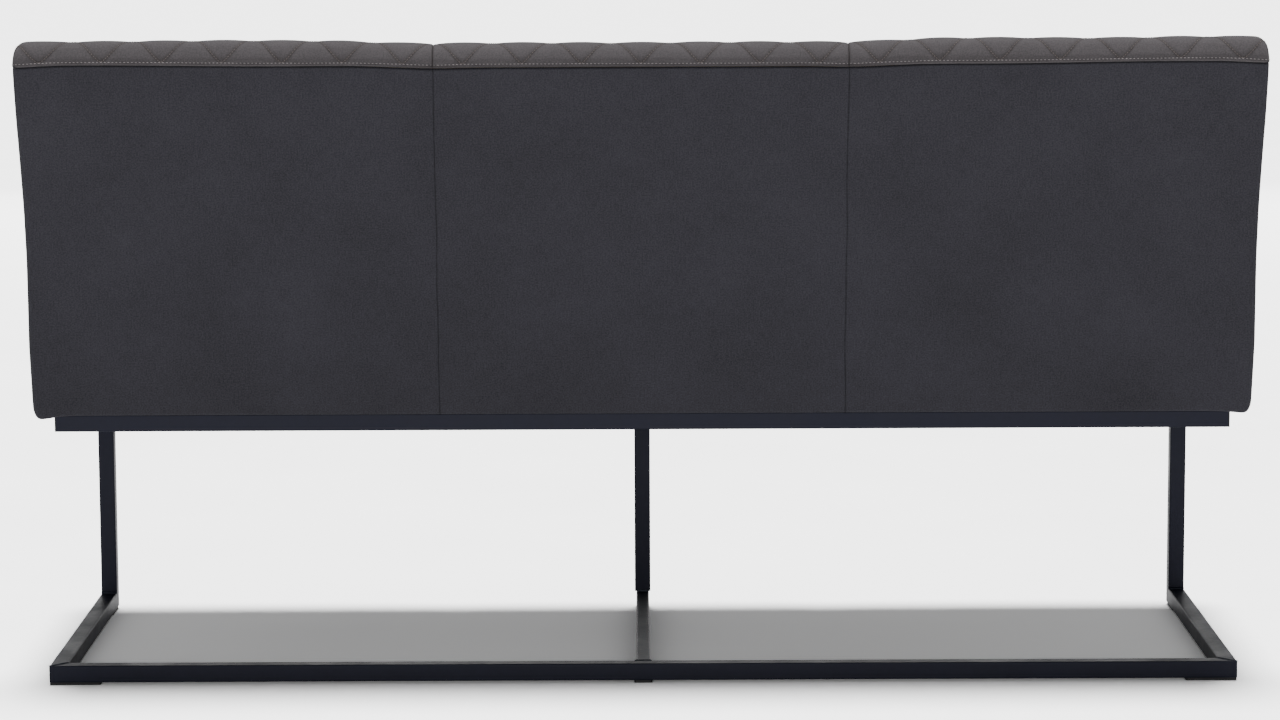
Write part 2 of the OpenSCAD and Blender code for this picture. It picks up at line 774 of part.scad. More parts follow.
floor_rear_tube();
floor_runner_left();
floor_runner_middle();
floor_runner_right();
upright_left();
upright_middle();
upright_right();
seat_arm_left();
seat_arm_middle();
seat_arm_right();
seat_front_bar();
seat_rear_bar();
weld_beads();
tube_end_caps();
rear_glide_left();
rear_glide_middle();
rear_glide_right();
front_glides();
frame_bolts();
bolt_washers();
threaded_inserts();
dust_cover();
seat_rail_front();
seat_rail_rear();
seat_rail_left();
seat_rail_right();
seat_cross_rails();
corner_blocks();
seat_webbing();
seat_foam();
back_post_left();
back_post_inner_left();
back_post_inner_right();
back_post_right();
post_screws();
back_top_rail();
back_board();
back_foam();
seat_cushion_left();
seat_cushion_middle();
seat_cushion_right();
back_cushion_left();
back_cushion_middle();
back_cushion_right();
rear_panel_left();
rear_panel_middle();
rear_panel_right();
back_side_left();
back_side_right();
seat_side_left();
seat_side_right();
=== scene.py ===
import bpy
import numpy as np
from mathutils import Matrix, Vector


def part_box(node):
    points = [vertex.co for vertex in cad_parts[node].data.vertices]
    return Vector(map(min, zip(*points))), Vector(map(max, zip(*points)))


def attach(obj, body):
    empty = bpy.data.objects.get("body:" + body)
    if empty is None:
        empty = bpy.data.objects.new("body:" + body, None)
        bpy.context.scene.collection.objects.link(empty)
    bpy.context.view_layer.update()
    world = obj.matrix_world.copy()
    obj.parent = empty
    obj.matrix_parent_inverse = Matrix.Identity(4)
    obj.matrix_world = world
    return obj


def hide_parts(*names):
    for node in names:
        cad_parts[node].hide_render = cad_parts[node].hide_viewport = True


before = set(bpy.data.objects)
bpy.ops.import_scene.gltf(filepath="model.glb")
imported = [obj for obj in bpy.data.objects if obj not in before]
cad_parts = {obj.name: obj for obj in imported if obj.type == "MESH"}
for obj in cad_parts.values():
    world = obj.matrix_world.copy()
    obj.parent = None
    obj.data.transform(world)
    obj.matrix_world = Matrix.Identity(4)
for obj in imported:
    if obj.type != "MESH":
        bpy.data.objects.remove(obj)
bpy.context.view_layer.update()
print("frame loaded:", len(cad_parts), "nodes")


def addObject(name, data):
    # a new object at the origin, in the scene
    thing = bpy.data.objects.new(name, data)
    bpy.context.scene.collection.objects.link(thing)
    return thing


# Camera, as far behind the bench as the photograph's perspective asks for; angles in radians
shot = {
    "place": (0.00512, 5.93526, 1.21481), "pitch": 0.13033, "yaw": -0.00038, "roll": -0.00418,
    "focalPixels": 3900, "imagePixels": 1280, "sensor": 36, "far": 200,
}


def addCamera():
    # looks along (sin yaw cos pitch, -cos yaw cos pitch, -sin pitch), then rolls about that line
    data = bpy.data.cameras.new("camera")
    data.sensor_width = shot["sensor"]
    data.lens = shot["sensor"] * shot["focalPixels"] / shot["imagePixels"]
    data.clip_end = shot["far"]
    pitch, yaw, roll = shot["pitch"], shot["yaw"], shot["roll"]
    forward = np.array([np.sin(yaw) * np.cos(pitch), -np.cos(yaw) * np.cos(pitch), -np.sin(pitch)])
    right = np.array([-np.cos(yaw), -np.sin(yaw), 0])
    up = np.cross(right, forward)
    across = np.cos(roll) * right + np.sin(roll) * up
    upright = -np.sin(roll) * right + np.cos(roll) * up
    matrix = np.eye(4)
    matrix[:3] = np.stack([across, upright, -forward, shot["place"]], axis=1)
    camera = addObject("camera", data)
    camera.matrix_world = Matrix(matrix.tolist())
    bpy.context.scene.camera = camera


addCamera()

# Sizes of the bench in metres and degrees, as the frame was built; x runs along it and -y is its front
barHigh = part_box("seat_rear_bar")[1]
bench = {
    "half": 0.9, "panels": 3, "skirt": 0.004, "footOverhang": 0.012,
    "lean": 0.094, "leanShare": 0.55, "frontLean": 13, "weltZ": 0.901, "high": 0.937, "deep": 0.08,
    "topRoll": 0.042, "padDeep": 0.02, "gap": 0.0003, "sideRecess": 0.002, "sideDeep": 0.006,
    "seatFront": -0.3175, "seatEdge": 0.494, "seatCrown": 0.006, "seatRoll": 0.04, "seatDeep": 0.03,
}
sides = {"left": -1, "middle": 0, "right": 1}
panelWide = 2 * bench["half"] / bench["panels"]
coverLow = barHigh.z - bench["skirt"]
footBack = barHigh.y + bench["footOverhang"]
seatPadLow = bench["seatEdge"] - bench["seatDeep"]
frontLean = np.radians(bench["frontLean"])


# Outlines in the plane across the bench: each gives y, z and the angle of the outward normal
def rearLine(z):
    # y = foot + lean (0.55 t + 0.45 t squared), with t the share of the height from foot to welt
    tall = bench["weltZ"] - coverLow
    t, first = (z - coverLow) / tall, bench["leanShare"]
    y = footBack + bench["lean"] * (first * t + (1 - first) * t * t)
    return y, z, -np.arctan(bench["lean"] * (first + 2 * (1 - first) * t) / tall)


weltY, _, weltAngle = rearLine(bench["weltZ"])
rearRoll = (bench["high"] - bench["weltZ"]) / (1 - np.sin(weltAngle))
rearRollY = weltY - rearRoll * np.cos(weltAngle)
rearRollZ = bench["weltZ"] - rearRoll * np.sin(weltAngle)
frontRollY = rearRollY + rearRoll - bench["deep"] + bench["topRoll"]
frontRollZ = bench["high"] - bench["topRoll"]
frontTopY = frontRollY - bench["topRoll"] * np.cos(frontLean)
frontTopZ = frontRollZ + bench["topRoll"] * np.sin(frontLean)
rearRollLong = rearRoll * (np.pi / 2 - weltAngle)
flatLong = rearRollY - frontRollY
rollLong = rearRollLong + flatLong + bench["topRoll"] * (np.pi / 2 - frontLean)
backLong = rollLong + (frontTopZ - seatPadLow) / np.cos(frontLean)


def frontY(z):
    # the straight front: its top's y less the way down times the tangent of its lean
    return frontTopY - (frontTopZ - z) * np.tan(frontLean)


def backLine(s):
    # arc up from the welt, a short flat, a larger arc, then straight down the leaning front
    s = np.asarray(s, float)
    a1 = weltAngle + s / rearRoll
    a2 = np.pi / 2 + (s - rearRollLong - flatLong) / bench["topRoll"]
    past = s - rollLong
    parts = [s < rearRollLong, s < rearRollLong + flatLong, s < rollLong]
    y = np.select(parts, [rearRollY + rearRoll * np.cos(a1), rearRollY - (s - rearRollLong),
                          frontRollY + bench["topRoll"] * np.cos(a2)],
                  frontTopY - past * np.sin(frontLean))
    z = np.select(parts, [rearRollZ + rearRoll * np.sin(a1), bench["high"] + 0 * s,
                          frontRollZ + bench["topRoll"] * np.sin(a2)],
                  frontTopZ - past * np.cos(frontLean))
    return y, z, np.select(parts, [a1, np.pi / 2 + 0 * s, a2], np.pi - frontLean)


seatBack = frontY(seatPadLow) - bench["gap"]
seatTopLong = seatBack - bench["seatFront"] - bench["seatRoll"]
seatRollLong = bench["seatRoll"] * np.pi / 2
seatLong = seatTopLong + seatRollLong + bench["seatEdge"] - bench["seatRoll"] - coverLow


def seatLine(s):
    # a parabola's crown forward from the back, a quarter circle over the edge, then straight down
    s = np.asarray(s, float)
    a = np.pi / 2 + (s - seatTopLong) / bench["seatRoll"]
    crown = bench["seatEdge"] + bench["seatCrown"] * (1 - (2 * s / seatTopLong - 1) ** 2)
    parts = [s < seatTopLong, s < seatTopLong + seatRollLong]
    y = np.select(parts, [seatBack - s, bench["seatFront"] + bench["seatRoll"] * (1 + np.cos(a))],
                  bench["seatFront"] + 0 * s)
    z = np.select(parts, [crown, bench["seatEdge"] - bench["seatRoll"] * (1 - np.sin(a))],
                  bench["seatEdge"] - bench["seatRoll"] - (s - seatTopLong - seatRollLong))
    return y, z, np.select(parts, [np.pi / 2 + 0 * s, a], np.pi)


def letIn(x, line, deep):
    # points at x on an outline's y, z and angle, moved in by deep along the outline's normal
    y, z, angle = line
    return np.stack(np.broadcast_arrays(x, y - deep * np.cos(angle), z - deep * np.sin(angle)), axis=-1)


# Shape helpers, all on whole arrays
def hump(d, reach):
    # exp(-(d / reach) squared): one on the line and nearly nothing at twice the reach
    return np.exp(-(d / reach) ** 2)


def dent(look, d):
    # a hump of the given amount and reach
    return look[0] * hump(d, look[1])


def rise(value, low, high):
    # 3t squared - 2t cubed between low and high
    t = np.clip((value - low) / (high - low), 0, 1)
    return t * t * (3 - 2 * t)


def waver(values, wave, seed, shift=0):
    # a sum of four sines of about the given wavelength, with seeded phases, between about -1 and 1
    dice = np.random.default_rng(seed + shift)
    phases, stretch = dice.uniform(0, 2 * np.pi, 4), dice.uniform(0.6, 1.7, 4)
    return sum(np.sin(2 * np.pi * values / (wave * k) + p) for k, p in zip(stretch, phases)) / 3


def wobble(look, values, shift=0):
    # a waver of the given amount, wavelength and seed
    return look[0] * waver(values, *look[1:], shift)


def unit(vectors):
    # each vector over its own length
    return vectors / (np.linalg.norm(vectors, axis=-1, keepdims=True) + 1e-12)


def clothWide(side, r):
    # the panel's width, and on an outer panel the quarter circle at its end as well
    return panelWide if side == 0 else panelWide - r + r * np.pi / 2


def acrossCloth(f, side, r):
    # on an outer panel the cloth runs flat and then round a quarter circle of radius r at its outer
    # end; gives x and how far the cloth has turned in there
    if side == 0:
        return f - panelWide / 2, 0 * f
    turn = np.maximum(0, f - panelWide + r) / r
    out = np.minimum(f, panelWide - r) + r * np.sin(turn)
    return side * (panelWide / 2 + out), r * (1 - np.cos(turn))


def clothGrid(side, f, s, full):
    # a panel's cloth as a grid with x rising along its rows, and each point's way from the seams
    across, along = np.meshgrid(f[::-1] if side < 0 else f, s)
    return across, along, np.minimum(across, full - across) if side == 0 else across


def seamSpots(long, fine, count, both=True):
    # positions along a length: the fine offsets at one or both ends, and even steps between
    fine = np.array(fine)
    high = long - fine[-1] if both else long
    ends = long - fine[::-1][1:] if both else []
    return np.concatenate([fine, np.linspace(fine[-1], high, count)[1:], ends])


# Mesh helpers
def makePiece(name, points, faceSets, uv=None, values=None, smooth=True):
    # points in metres; faceSets are arrays of faces with 3, 4 or more corners each
    mesh = bpy.data.meshes.new(name)
    corners = np.concatenate([faces.ravel() for faces in faceSets]).astype(np.int32)
    sizes = np.concatenate([np.full(len(faces), faces.shape[1]) for faces in faceSets])
    mesh.vertices.add(len(points))
    mesh.vertices.foreach_set("co", points.astype(np.float32).ravel())
    mesh.loops.add(len(corners))
    mesh.loops.foreach_set("vertex_index", corners)
    mesh.polygons.add(len(sizes))
    mesh.polygons.foreach_set("loop_start", (np.cumsum(sizes) - sizes).astype(np.int32))
    mesh.polygons.foreach_set("use_smooth", np.full(len(sizes), smooth))
    mesh.update(calc_edges=True)
    mesh.validate()
    if uv is not None:
        layer = mesh.uv_layers.new(name="cloth")
        layer.data.foreach_set("uv", uv[corners].astype(np.float32).ravel())
    for key, value in (values or {}).items():
        mesh.attributes.new(key, "FLOAT", "POINT").data.foreach_set("value", value.astype(np.float32))
    return addObject(name, mesh)


def quads(*corners):
    # faces as rows, from one array of indices for each corner
    return np.stack([corner.ravel() for corner in corners], axis=1)


def gridFaces(rows, cols):
    # a face from each point of a grid and its neighbours in the next row and column
    index = np.arange(rows * cols).reshape(rows, cols)
    return quads(index[:-1, :-1], index[1:, :-1], index[1:, 1:], index[:-1, 1:])


def shareAlong(line):
    # each point's distance along a line, as a share of the whole
    long = np.concatenate([[0], np.cumsum(np.linalg.norm(np.diff(line, axis=0), axis=1))])
    return long / long[-1]


# The walls between a cover and its underside: their end rows' step in metres, and the underside's rows
skirt = {"step": 0.0007, "most": 0.3, "feet": (0.3, 0.6), "edge": (0, 0.0006, 0.002, 0.006)}


def withSkirt(cover, under):
    # two more lines of points down each of the four sides, one just below the cover's edge and one
    # just above the underside, so that only the edges themselves are rounded
    def drawn(edge, foot):
        fall = foot - edge
        long = np.maximum(np.linalg.norm(fall, axis=1, keepdims=True), 1e-9)
        step = np.minimum(skirt["step"] / long, skirt["most"])
        return edge + fall * (1 - step), edge + fall * step

    def footOf(row, foot):
        return np.stack([np.interp(shareAlong(row), shareAlong(foot), part) for part in foot.T], axis=1)

    low, lowNear = drawn(cover[0], footOf(cover[0], under[0]))
    high, highNear = drawn(cover[-1], footOf(cover[-1], under[-1]))
    cover = np.concatenate([[low, lowNear], cover, [highNear, high]])
    near, far = skirt["feet"]
    start, stop = under[1] - under[0], under[-2] - under[-1]
    feet = np.concatenate([[under[0], under[0] + start * near, under[0] + start * far], under[1:-1],
                           [under[-1] + stop * far, under[-1] + stop * near, under[-1]]])
    left, leftNear = (line[:, None] for line in drawn(cover[:, 0], feet[:, 0]))
    right, rightNear = (line[:, None] for line in drawn(cover[:, -1], feet[:, -1]))
    return np.concatenate([left, leftNear, cover, rightNear, right], axis=1), feet


def underShares(wide, count):
    # shares of a width: fine at both edges, even between
    fine = np.array(skirt["edge"]) / wide
    return np.concatenate([fine, np.linspace(fine[-1], 1 - fine[-1], count)[1:-1], 1 - fine[::-1]])


def underside(cover, line, deep, count):
    # a coarser grid at a depth below an outline, in each row as wide as the cover
    shares = underShares(panelWide, count)
    x = cover[:, :1, 0] * (1 - shares) + cover[:, -1:, 0] * shares
    return letIn(x, [part[:, None] for part in line], deep)


def closedGrid(cover, under):
    # cover is rows by columns of points with x rising along a row, under a coarser copy beneath it;
    # their rows meet in side walls, and their first and last rows in fans of triangles
    cover, under = withSkirt(cover, under)
    rows, cols = cover.shape[:2]
    few = under.shape[1]
    top = np.arange(rows * cols).reshape(rows, cols)
    low = top.size + np.arange(rows * few).reshape(rows, few)
    faces = [gridFaces(rows, cols), top.size + gridFaces(rows, few)[:, [0, 3, 2, 1]],
             quads(top[:-1, 0], low[:-1, 0], low[1:, 0], top[1:, 0]),
             quads(top[1:, -1], low[1:, -1], low[:-1, -1], top[:-1, -1])]
    for row, flip in ((0, False), (rows - 1, True)):
        near = np.interp(shareAlong(cover[row])[:-1], shareAlong(under[row]), np.arange(few))
        near = near.round().astype(int)
        near[0], near[-1] = 0, few - 1
        first = np.searchsorted(near, np.arange(1, few))
        fans = quads(top[row, :-1], top[row, 1:], low[row, near])
        links = quads(top[row, first], low[row, 1:], low[row, :-1])
        faces += [part[:, ::-1] if flip else part for part in (fans, links)]
    return np.concatenate([cover.reshape(-1, 3), under.reshape(-1, 3)]), faces, cover.shape


def skirted(values, under):
    # a grid of values carried on over the skirt, and zeros for the underside
    grid = np.pad(values, ((2, 2), (2, 2)) + ((0, 0),) * (values.ndim - 2), mode="edge")
    rest = np.zeros(((under.shape[0] + 4) * under.shape[1],) + values.shape[2:])
    return np.concatenate([grid.reshape(-1, *values.shape[2:]), rest])


def coveredPiece(name, cover, under, flat, creaseShade):
    # the closed mesh of a cover, with the cloth's own lengths as its UV map and, as values, where painted
    # shade darkens its creases
    points, faces, shape = closedGrid(cover, under)
    piece = makePiece(name, points, faces, skirted(flat, under), {"creaseShade": skirted(creaseShade, under)})
    return piece, shape


def sampleGrid(grid, row, col):
    # bilinear value of a grid of points at fractional rows and columns, kept just inside the last ones
    r = np.clip(row, 0, grid.shape[0] - 1.001)
    c = np.clip(col, 0, grid.shape[1] - 1.001)
    r0, c0 = r.astype(int), c.astype(int)
    dr, dc = (r - r0)[:, None], (c - c0)[:, None]
    return ((grid[r0, c0] * (1 - dr) + grid[r0 + 1, c0] * dr) * (1 - dc)
            + (grid[r0, c0 + 1] * (1 - dr) + grid[r0 + 1, c0 + 1] * dr) * dc)


def meshSpots(mesh):
    # the places of all vertices in one flat array
    spots = np.empty(len(mesh.vertices) * 3, np.float32)
    mesh.vertices.foreach_get("co", spots)
    return spots


def shownMesh(piece):
    # the piece's mesh once its modifiers have worked on it
    return piece.evaluated_get(bpy.context.evaluated_depsgraph_get()).data


def smoothGrid(piece, shape):
    # where the cover's points lie once the modifiers have rounded the piece, as a grid
    spots = meshSpots(shownMesh(piece)).reshape(-1, 3)
    return spots[:shape[0] * shape[1]].reshape(shape[0], shape[1], 3).astype(float)


def subdivide(piece):
    # one level of rounding, the same on screen and in a render
    part = piece.modifiers.new("smooth", "SUBSURF")
    part.levels = part.render_levels = 1


# Air pressure under the covers: their grids wait here and are all blown up in one run of the clock
air = {"frames": 20, "quality": 5, "mass": 0.3, "steps": 4, "shear": 3}
waiting = []


def blowUp(piece, cover, held, look):
    # held is 1 at the points of the cover that sewing or boards hold and 0 at the free ones
    sheet = makePiece(piece.name + "_air", cover.reshape(-1, 3), [gridFaces(*cover.shape[:2])])
    group = sheet.vertex_groups.new(name="held")
    level = np.round(held.ravel() * air["steps"]).astype(int)
    for step in range(1, air["steps"] + 1):
        group.add(np.flatnonzero(level == step).tolist(), step / air["steps"], "REPLACE")
    cloth = sheet.modifiers.new("air", "CLOTH")
    part = cloth.settings
    part.quality, part.mass = air["quality"], air["mass"]
    part.tension_stiffness = part.compression_stiffness = look["stiff"]
    part.shear_stiffness, part.bending_stiffness = look["stiff"] / air["shear"], look["bend"]
    part.use_pressure, part.uniform_pressure_force = True, look["pressure"]
    part.vertex_group_mass, part.pin_stiffness = "held", 1
    part.effector_weights.gravity = 0
    cloth.collision_settings.use_collision = False
    cloth.point_cache.frame_end = air["frames"]
    waiting.append((piece, sheet, cover, look["cap"]))


def runAir():
    # each point's way is limited to cap tanh(way / cap) and then added to the finished piece
    scene = bpy.context.scene
    for step in range(1, air["frames"] + 1):
        scene.frame_set(step)
    for piece, sheet, cover, cap in waiting:
        move = meshSpots(shownMesh(sheet)).reshape(cover.shape) - cover
        far = np.linalg.norm(move, axis=-1, keepdims=True)
        move *= np.tanh(far / cap) * cap / np.maximum(far, 1e-9)
        print("air:", piece.name, "moved", round(float(far.max()) * 1000, 2), "mm at most, mean",
              round(float(far.mean()) * 1000, 2))
        padded = np.pad(move, ((2, 2), (2, 2), (0, 0))).ravel()
        spots = meshSpots(piece.data)
        spots[:len(padded)] += padded
        piece.data.vertices.foreach_set("co", spots)
        piece.data.update()
    for entry in waiting:
        bpy.data.objects.remove(entry[1])
    scene.frame_set(1)


# Node helpers; those without a comment place one node and give back its output
def feed(tree, socket, value):
    # links a socket to an input, or sets the input's value
    if isinstance(value, bpy.types.NodeSocket):
        tree.links.new(value, socket)
    else:
        socket.default_value = value


def newNode(tree, kind, inputs=None, **settings):
    # inputs may hold a socket to link from or a value to set, under the input's name or number
    node = tree.nodes.new(kind)
    for key, value in settings.items():
        setattr(node, key, value)
    for key, value in (inputs or {}).items():
        feed(tree, node.inputs[key], value)
    return node


def maths(tree, operation, a, b=0.5, c=0.5, clamp=False):
    return newNode(tree, "ShaderNodeMath", {0: a, 1: b, 2: c}, operation=operation,
                   use_clamp=clamp).outputs[0]


def times(tree, a, b, **settings):
    return maths(tree, "MULTIPLY", a, b, **settings)


def scaled(tree, vector, factor):
    return newNode(tree, "ShaderNodeVectorMath", {0: vector, "Scale": factor},
                   operation="SCALE").outputs[0]


def stretched(tree, vector, scale):
    return newNode(tree, "ShaderNodeMapping", {0: vector, 3: scale}).outputs[0]


def noise(tree, vector, scale, detail=2.0, rough=0.5):
    return newNode(tree, "ShaderNodeTexNoise", {"Vector": vector, "Scale": scale, "Detail": detail,
                                                "Roughness": rough}).outputs["Fac"]


def cells(tree, vector, scale):
    return newNode(tree, "ShaderNodeTexVoronoi", {"Vector": vector, "Scale": scale}).outputs["Distance"]


def spread(tree, value, low, high, newLow=0.0, newHigh=1.0):
    return newNode(tree, "ShaderNodeMapRange", {"Value": value, "From Min": low, "From Max": high,
                                                "To Min": newLow, "To Max": newHigh}).outputs[0]


def roundedNormal(tree, radius):
    return newNode(tree, "ShaderNodeBevel", {"Radius": radius}, samples=6).outputs[0]


def mixColour(tree, factor, a, b):
    return newNode(tree, "ShaderNodeMix", {0: factor, 6: a, 7: b}, data_type="RGBA").outputs[2]


def newGroup(name, inputs, outputs):
    # a group with named inputs (name, kind, first value) and outputs (name, kind)
    tree = bpy.data.node_groups.new(name, "ShaderNodeTree")
    for label, kind, value in inputs:
        socket = tree.interface.new_socket(name=label, in_out="INPUT", socket_type="NodeSocket" + kind)
        if value is not None:
            socket.default_value = value
    for label, kind in outputs:
        tree.interface.new_socket(name=label, in_out="OUTPUT", socket_type="NodeSocket" + kind)
    return tree, tree.nodes.new("NodeGroupInput").outputs, tree.nodes.new("NodeGroupOutput").inputs


def useGroup(tree, group, **values):
    # places a group, with its inputs given by name
    return newNode(tree, "ShaderNodeGroup", values, node_tree=group).outputs


# Yarns: how finely and how far they wander, their fuzz, and slubs drawn out along the cloth
yarns = {
    "wander": 130, "bend": 0.0006, "fullTurn": 6.28318, "fuzz": (900, 3, 0.6), "slub": 520,
    "slubDraw": (1, 0.12, 1), "slubShare": 0.5, "weaveShare": 0.25,
}


def weaveGroup():
    # plain weave: the over and under yarns are the two products of sines across the cloth's threads
    tree, given, out = newGroup("fine weave", [("Vector", "Vector", None), ("Pitch", "Float", 0.0009),
                                               ("Uneven", "Float", 0.3)],
                                [("Height", "Float"), ("Tone", "Float")])
    warp = noise(tree, given["Vector"], yarns["wander"])
    offset = newNode(tree, "ShaderNodeCombineXYZ", {0: warp, 1: warp, 2: 0.0}).outputs[0]
    bent = scaled(tree, offset, yarns["bend"])
    moved = newNode(tree, "ShaderNodeVectorMath", {0: given["Vector"], 1: bent},
                    operation="ADD").outputs[0]
    part = newNode(tree, "ShaderNodeSeparateXYZ", {0: moved}).outputs
    turn = maths(tree, "DIVIDE", yarns["fullTurn"], given["Pitch"])
    a, b = (maths(tree, "SINE", times(tree, part[k], turn)) for k in (0, 1))
    weave = maths(tree, "ABSOLUTE", times(tree, a, b))
    rough = noise(tree, given["Vector"], *yarns["fuzz"])
    height = maths(tree, "MULTIPLY_ADD", rough, given["Uneven"], weave)
    slub = noise(tree, stretched(tree, given["Vector"], yarns["slubDraw"]), yarns["slub"])
    tree.links.new(height, out["Height"])
    slub = maths(tree, "SUBTRACT", slub, 0.5)
    tone = maths(tree, "MULTIPLY_ADD", slub, yarns["slubShare"], times(tree, weave, yarns["weaveShare"]))
    tree.links.new(tone, out["Tone"])
    return tree


blotch = {"wide": (3, 0.55), "finer": 9, "small": (3, 0.6), "smallShare": 0.35, "wideShare": 0.65}


def mottleGroup():
    # slow unevenness of a dyed or coated surface, from noise at two scales, about 0.5 all over
    tree, given, out = newGroup("slow mottle", [("Vector", "Vector", None), ("Scale", "Float", 9)],
                                [("Mask", "Float")])
    wide = noise(tree, given["Vector"], given["Scale"], *blotch["wide"])
    small = noise(tree, given["Vector"], times(tree, given["Scale"], blotch["finer"]), *blotch["small"])
    wide = times(tree, wide, blotch["wideShare"])
    tree.links.new(maths(tree, "MULTIPLY_ADD", small, blotch["smallShare"], wide), out["Mask"])
    return tree


pimples = {
    "fine": (2, 0.6), "coarser": 0.28, "swell": (1, 0.5), "fineShare": 0.4, "swellShare": 0.6,
    "speckSpan": (0.62, 0.75),
}


def grainGroup():
    # fine pimples of a coated or moulded surface, with a coarser swell below them
    tree, given, out = newGroup("coat grain", [("Vector", "Vector", None), ("Scale", "Float", 1400)],
                                [("Height", "Float"), ("Speck", "Float")])
    fine = noise(tree, given["Vector"], given["Scale"], *pimples["fine"])
    coarse = times(tree, given["Scale"], pimples["coarser"])
    swell = noise(tree, given["Vector"], coarse, *pimples["swell"])
    swell = times(tree, swell, pimples["swellShare"])
    tree.links.new(maths(tree, "MULTIPLY_ADD", fine, pimples["fineShare"], swell), out["Height"])
    tree.links.new(spread(tree, fine, *pimples["speckSpan"]), out["Speck"])
    return tree


rubAndHighlight = {"patches": (60, 4, 0.65), "patchSpan": (0.42, 0.62), "turnSpan": (0.995, 0.86)}


def wearAndHighlightGroup():
    # edges painted lighter, as rubbing and as a painted highlight: where a rounded copy of the normal turns
    # away from the true one, broken by noise
    tree, given, out = newGroup("edge wear and highlight", [("Vector", "Vector", None), ("Radius", "Float", 0.0015),
                                              ("Amount", "Float", 1.0)], [("Mask", "Float")])
    soft = roundedNormal(tree, given["Radius"])
    true = newNode(tree, "ShaderNodeNewGeometry").outputs["Normal"]
    same = newNode(tree, "ShaderNodeVectorMath", {0: soft, 1: true},
                   operation="DOT_PRODUCT").outputs["Value"]
    patchy = spread(tree, noise(tree, given["Vector"], *rubAndHighlight["patches"]), *rubAndHighlight["patchSpan"])
    wornAndLit = times(tree, spread(tree, same, *rubAndHighlight["turnSpan"]), patchy)
    tree.links.new(times(tree, wornAndLit, given["Amount"], clamp=True), out["Mask"])
    return tree


fineWeave, slowMottle, coatGrain, edgeWearAndHighlight = weaveGroup(), mottleGroup(), grainGroup(), wearAndHighlightGroup()


def mottled(tree, spot, scale):
    return useGroup(tree, slowMottle, Vector=spot, Scale=scale)["Mask"]


def newMaterial(name, rough, specular, **sockets):
    # a Principled shader with its even values set on its own sockets
    material = bpy.data.materials.new(name)
    material.use_nodes = True
    inputs = material.node_tree.nodes["Principled BSDF"].inputs
    for key, value in {"Roughness": rough, "Specular IOR Level": specular, **sockets}.items():
        inputs[key].default_value = value
    tree = material.node_tree
    return material, tree, tree.nodes.new("ShaderNodeTexCoord").outputs["Object"]


def paint(material, colour, rough, height, strength, distance, normal=None):
    # links the colour, the roughness if there is one, and a bump of the height into the shader
    tree = material.node_tree
    inputs = tree.nodes["Principled BSDF"].inputs
    tree.links.new(colour, inputs["Base Color"])
    if rough is not None:
        tree.links.new(rough, inputs["Roughness"])
    node = newNode(tree, "ShaderNodeBump", {"Height": height, "Strength": strength, "Distance": distance})
    if normal is not None:
        tree.links.new(normal, node.inputs["Normal"])
    tree.links.new(node.outputs[0], inputs["Normal"])
    return material


def rgb(red, green, blue):
    # a colour given in display values from 0 to 255, made linear
    value = np.array([red, green, blue]) / 255
    linear = np.where(value <= 0.04045, value / 12.92, ((value + 0.055) / 1.055) ** 2.4)
    return (*[float(v) for v in linear], 1.0)


# Finishes: a span is the low and high of the value that a mask or a roughness is spread from, and of
# what it is spread to where that isn't 0 and 1; a bump is its strength and its distance in metres.
# First the cloth of the quilted pads and the seat, and the plain cloth of the rear and the sides
# each crease colour is a painted shade, laid darker into the cloth's creases, channels, seams and under the
# welt
cloths = {
    "quilted": {"light": rgb(89, 85, 87), "dark": rgb(67, 64, 66), "creaseShade": rgb(58, 53, 53),
                "pitch": 0.0008, "bump": 0.0003, "rough": 0.78, "flecks": 420.0},
    "plain": {"light": rgb(63, 62, 69), "dark": rgb(38, 37, 41), "creaseShade": rgb(20, 20, 22),
              "pitch": 0.0007, "bump": 0.00022, "rough": 0.85, "flecks": 460.0},
}
cloths["seat"] = {**cloths["quilted"], "creaseShade": rgb(40, 36, 35)}
allCloth = {
    "specular": 0.15, "sheen": 0.03, "sheenRough": 0.5, "fleck": (2, 0.7),
    "fleckSpan": (0.36, 0.64, 0.0, 0.6), "mottle": 7.0, "mottleSpan": (0.3, 0.7), "mottleShare": 0.3,
    "creaseShadeShare": 0.7, "weaveHigh": 1.2, "rougher": 0.1, "smoother": 0.06, "wrinkle": (55, 3, 0.55),
    "wrinkleStrength": 0.25, "wrinkleDistance": 0.002, "strength": 0.6,
}


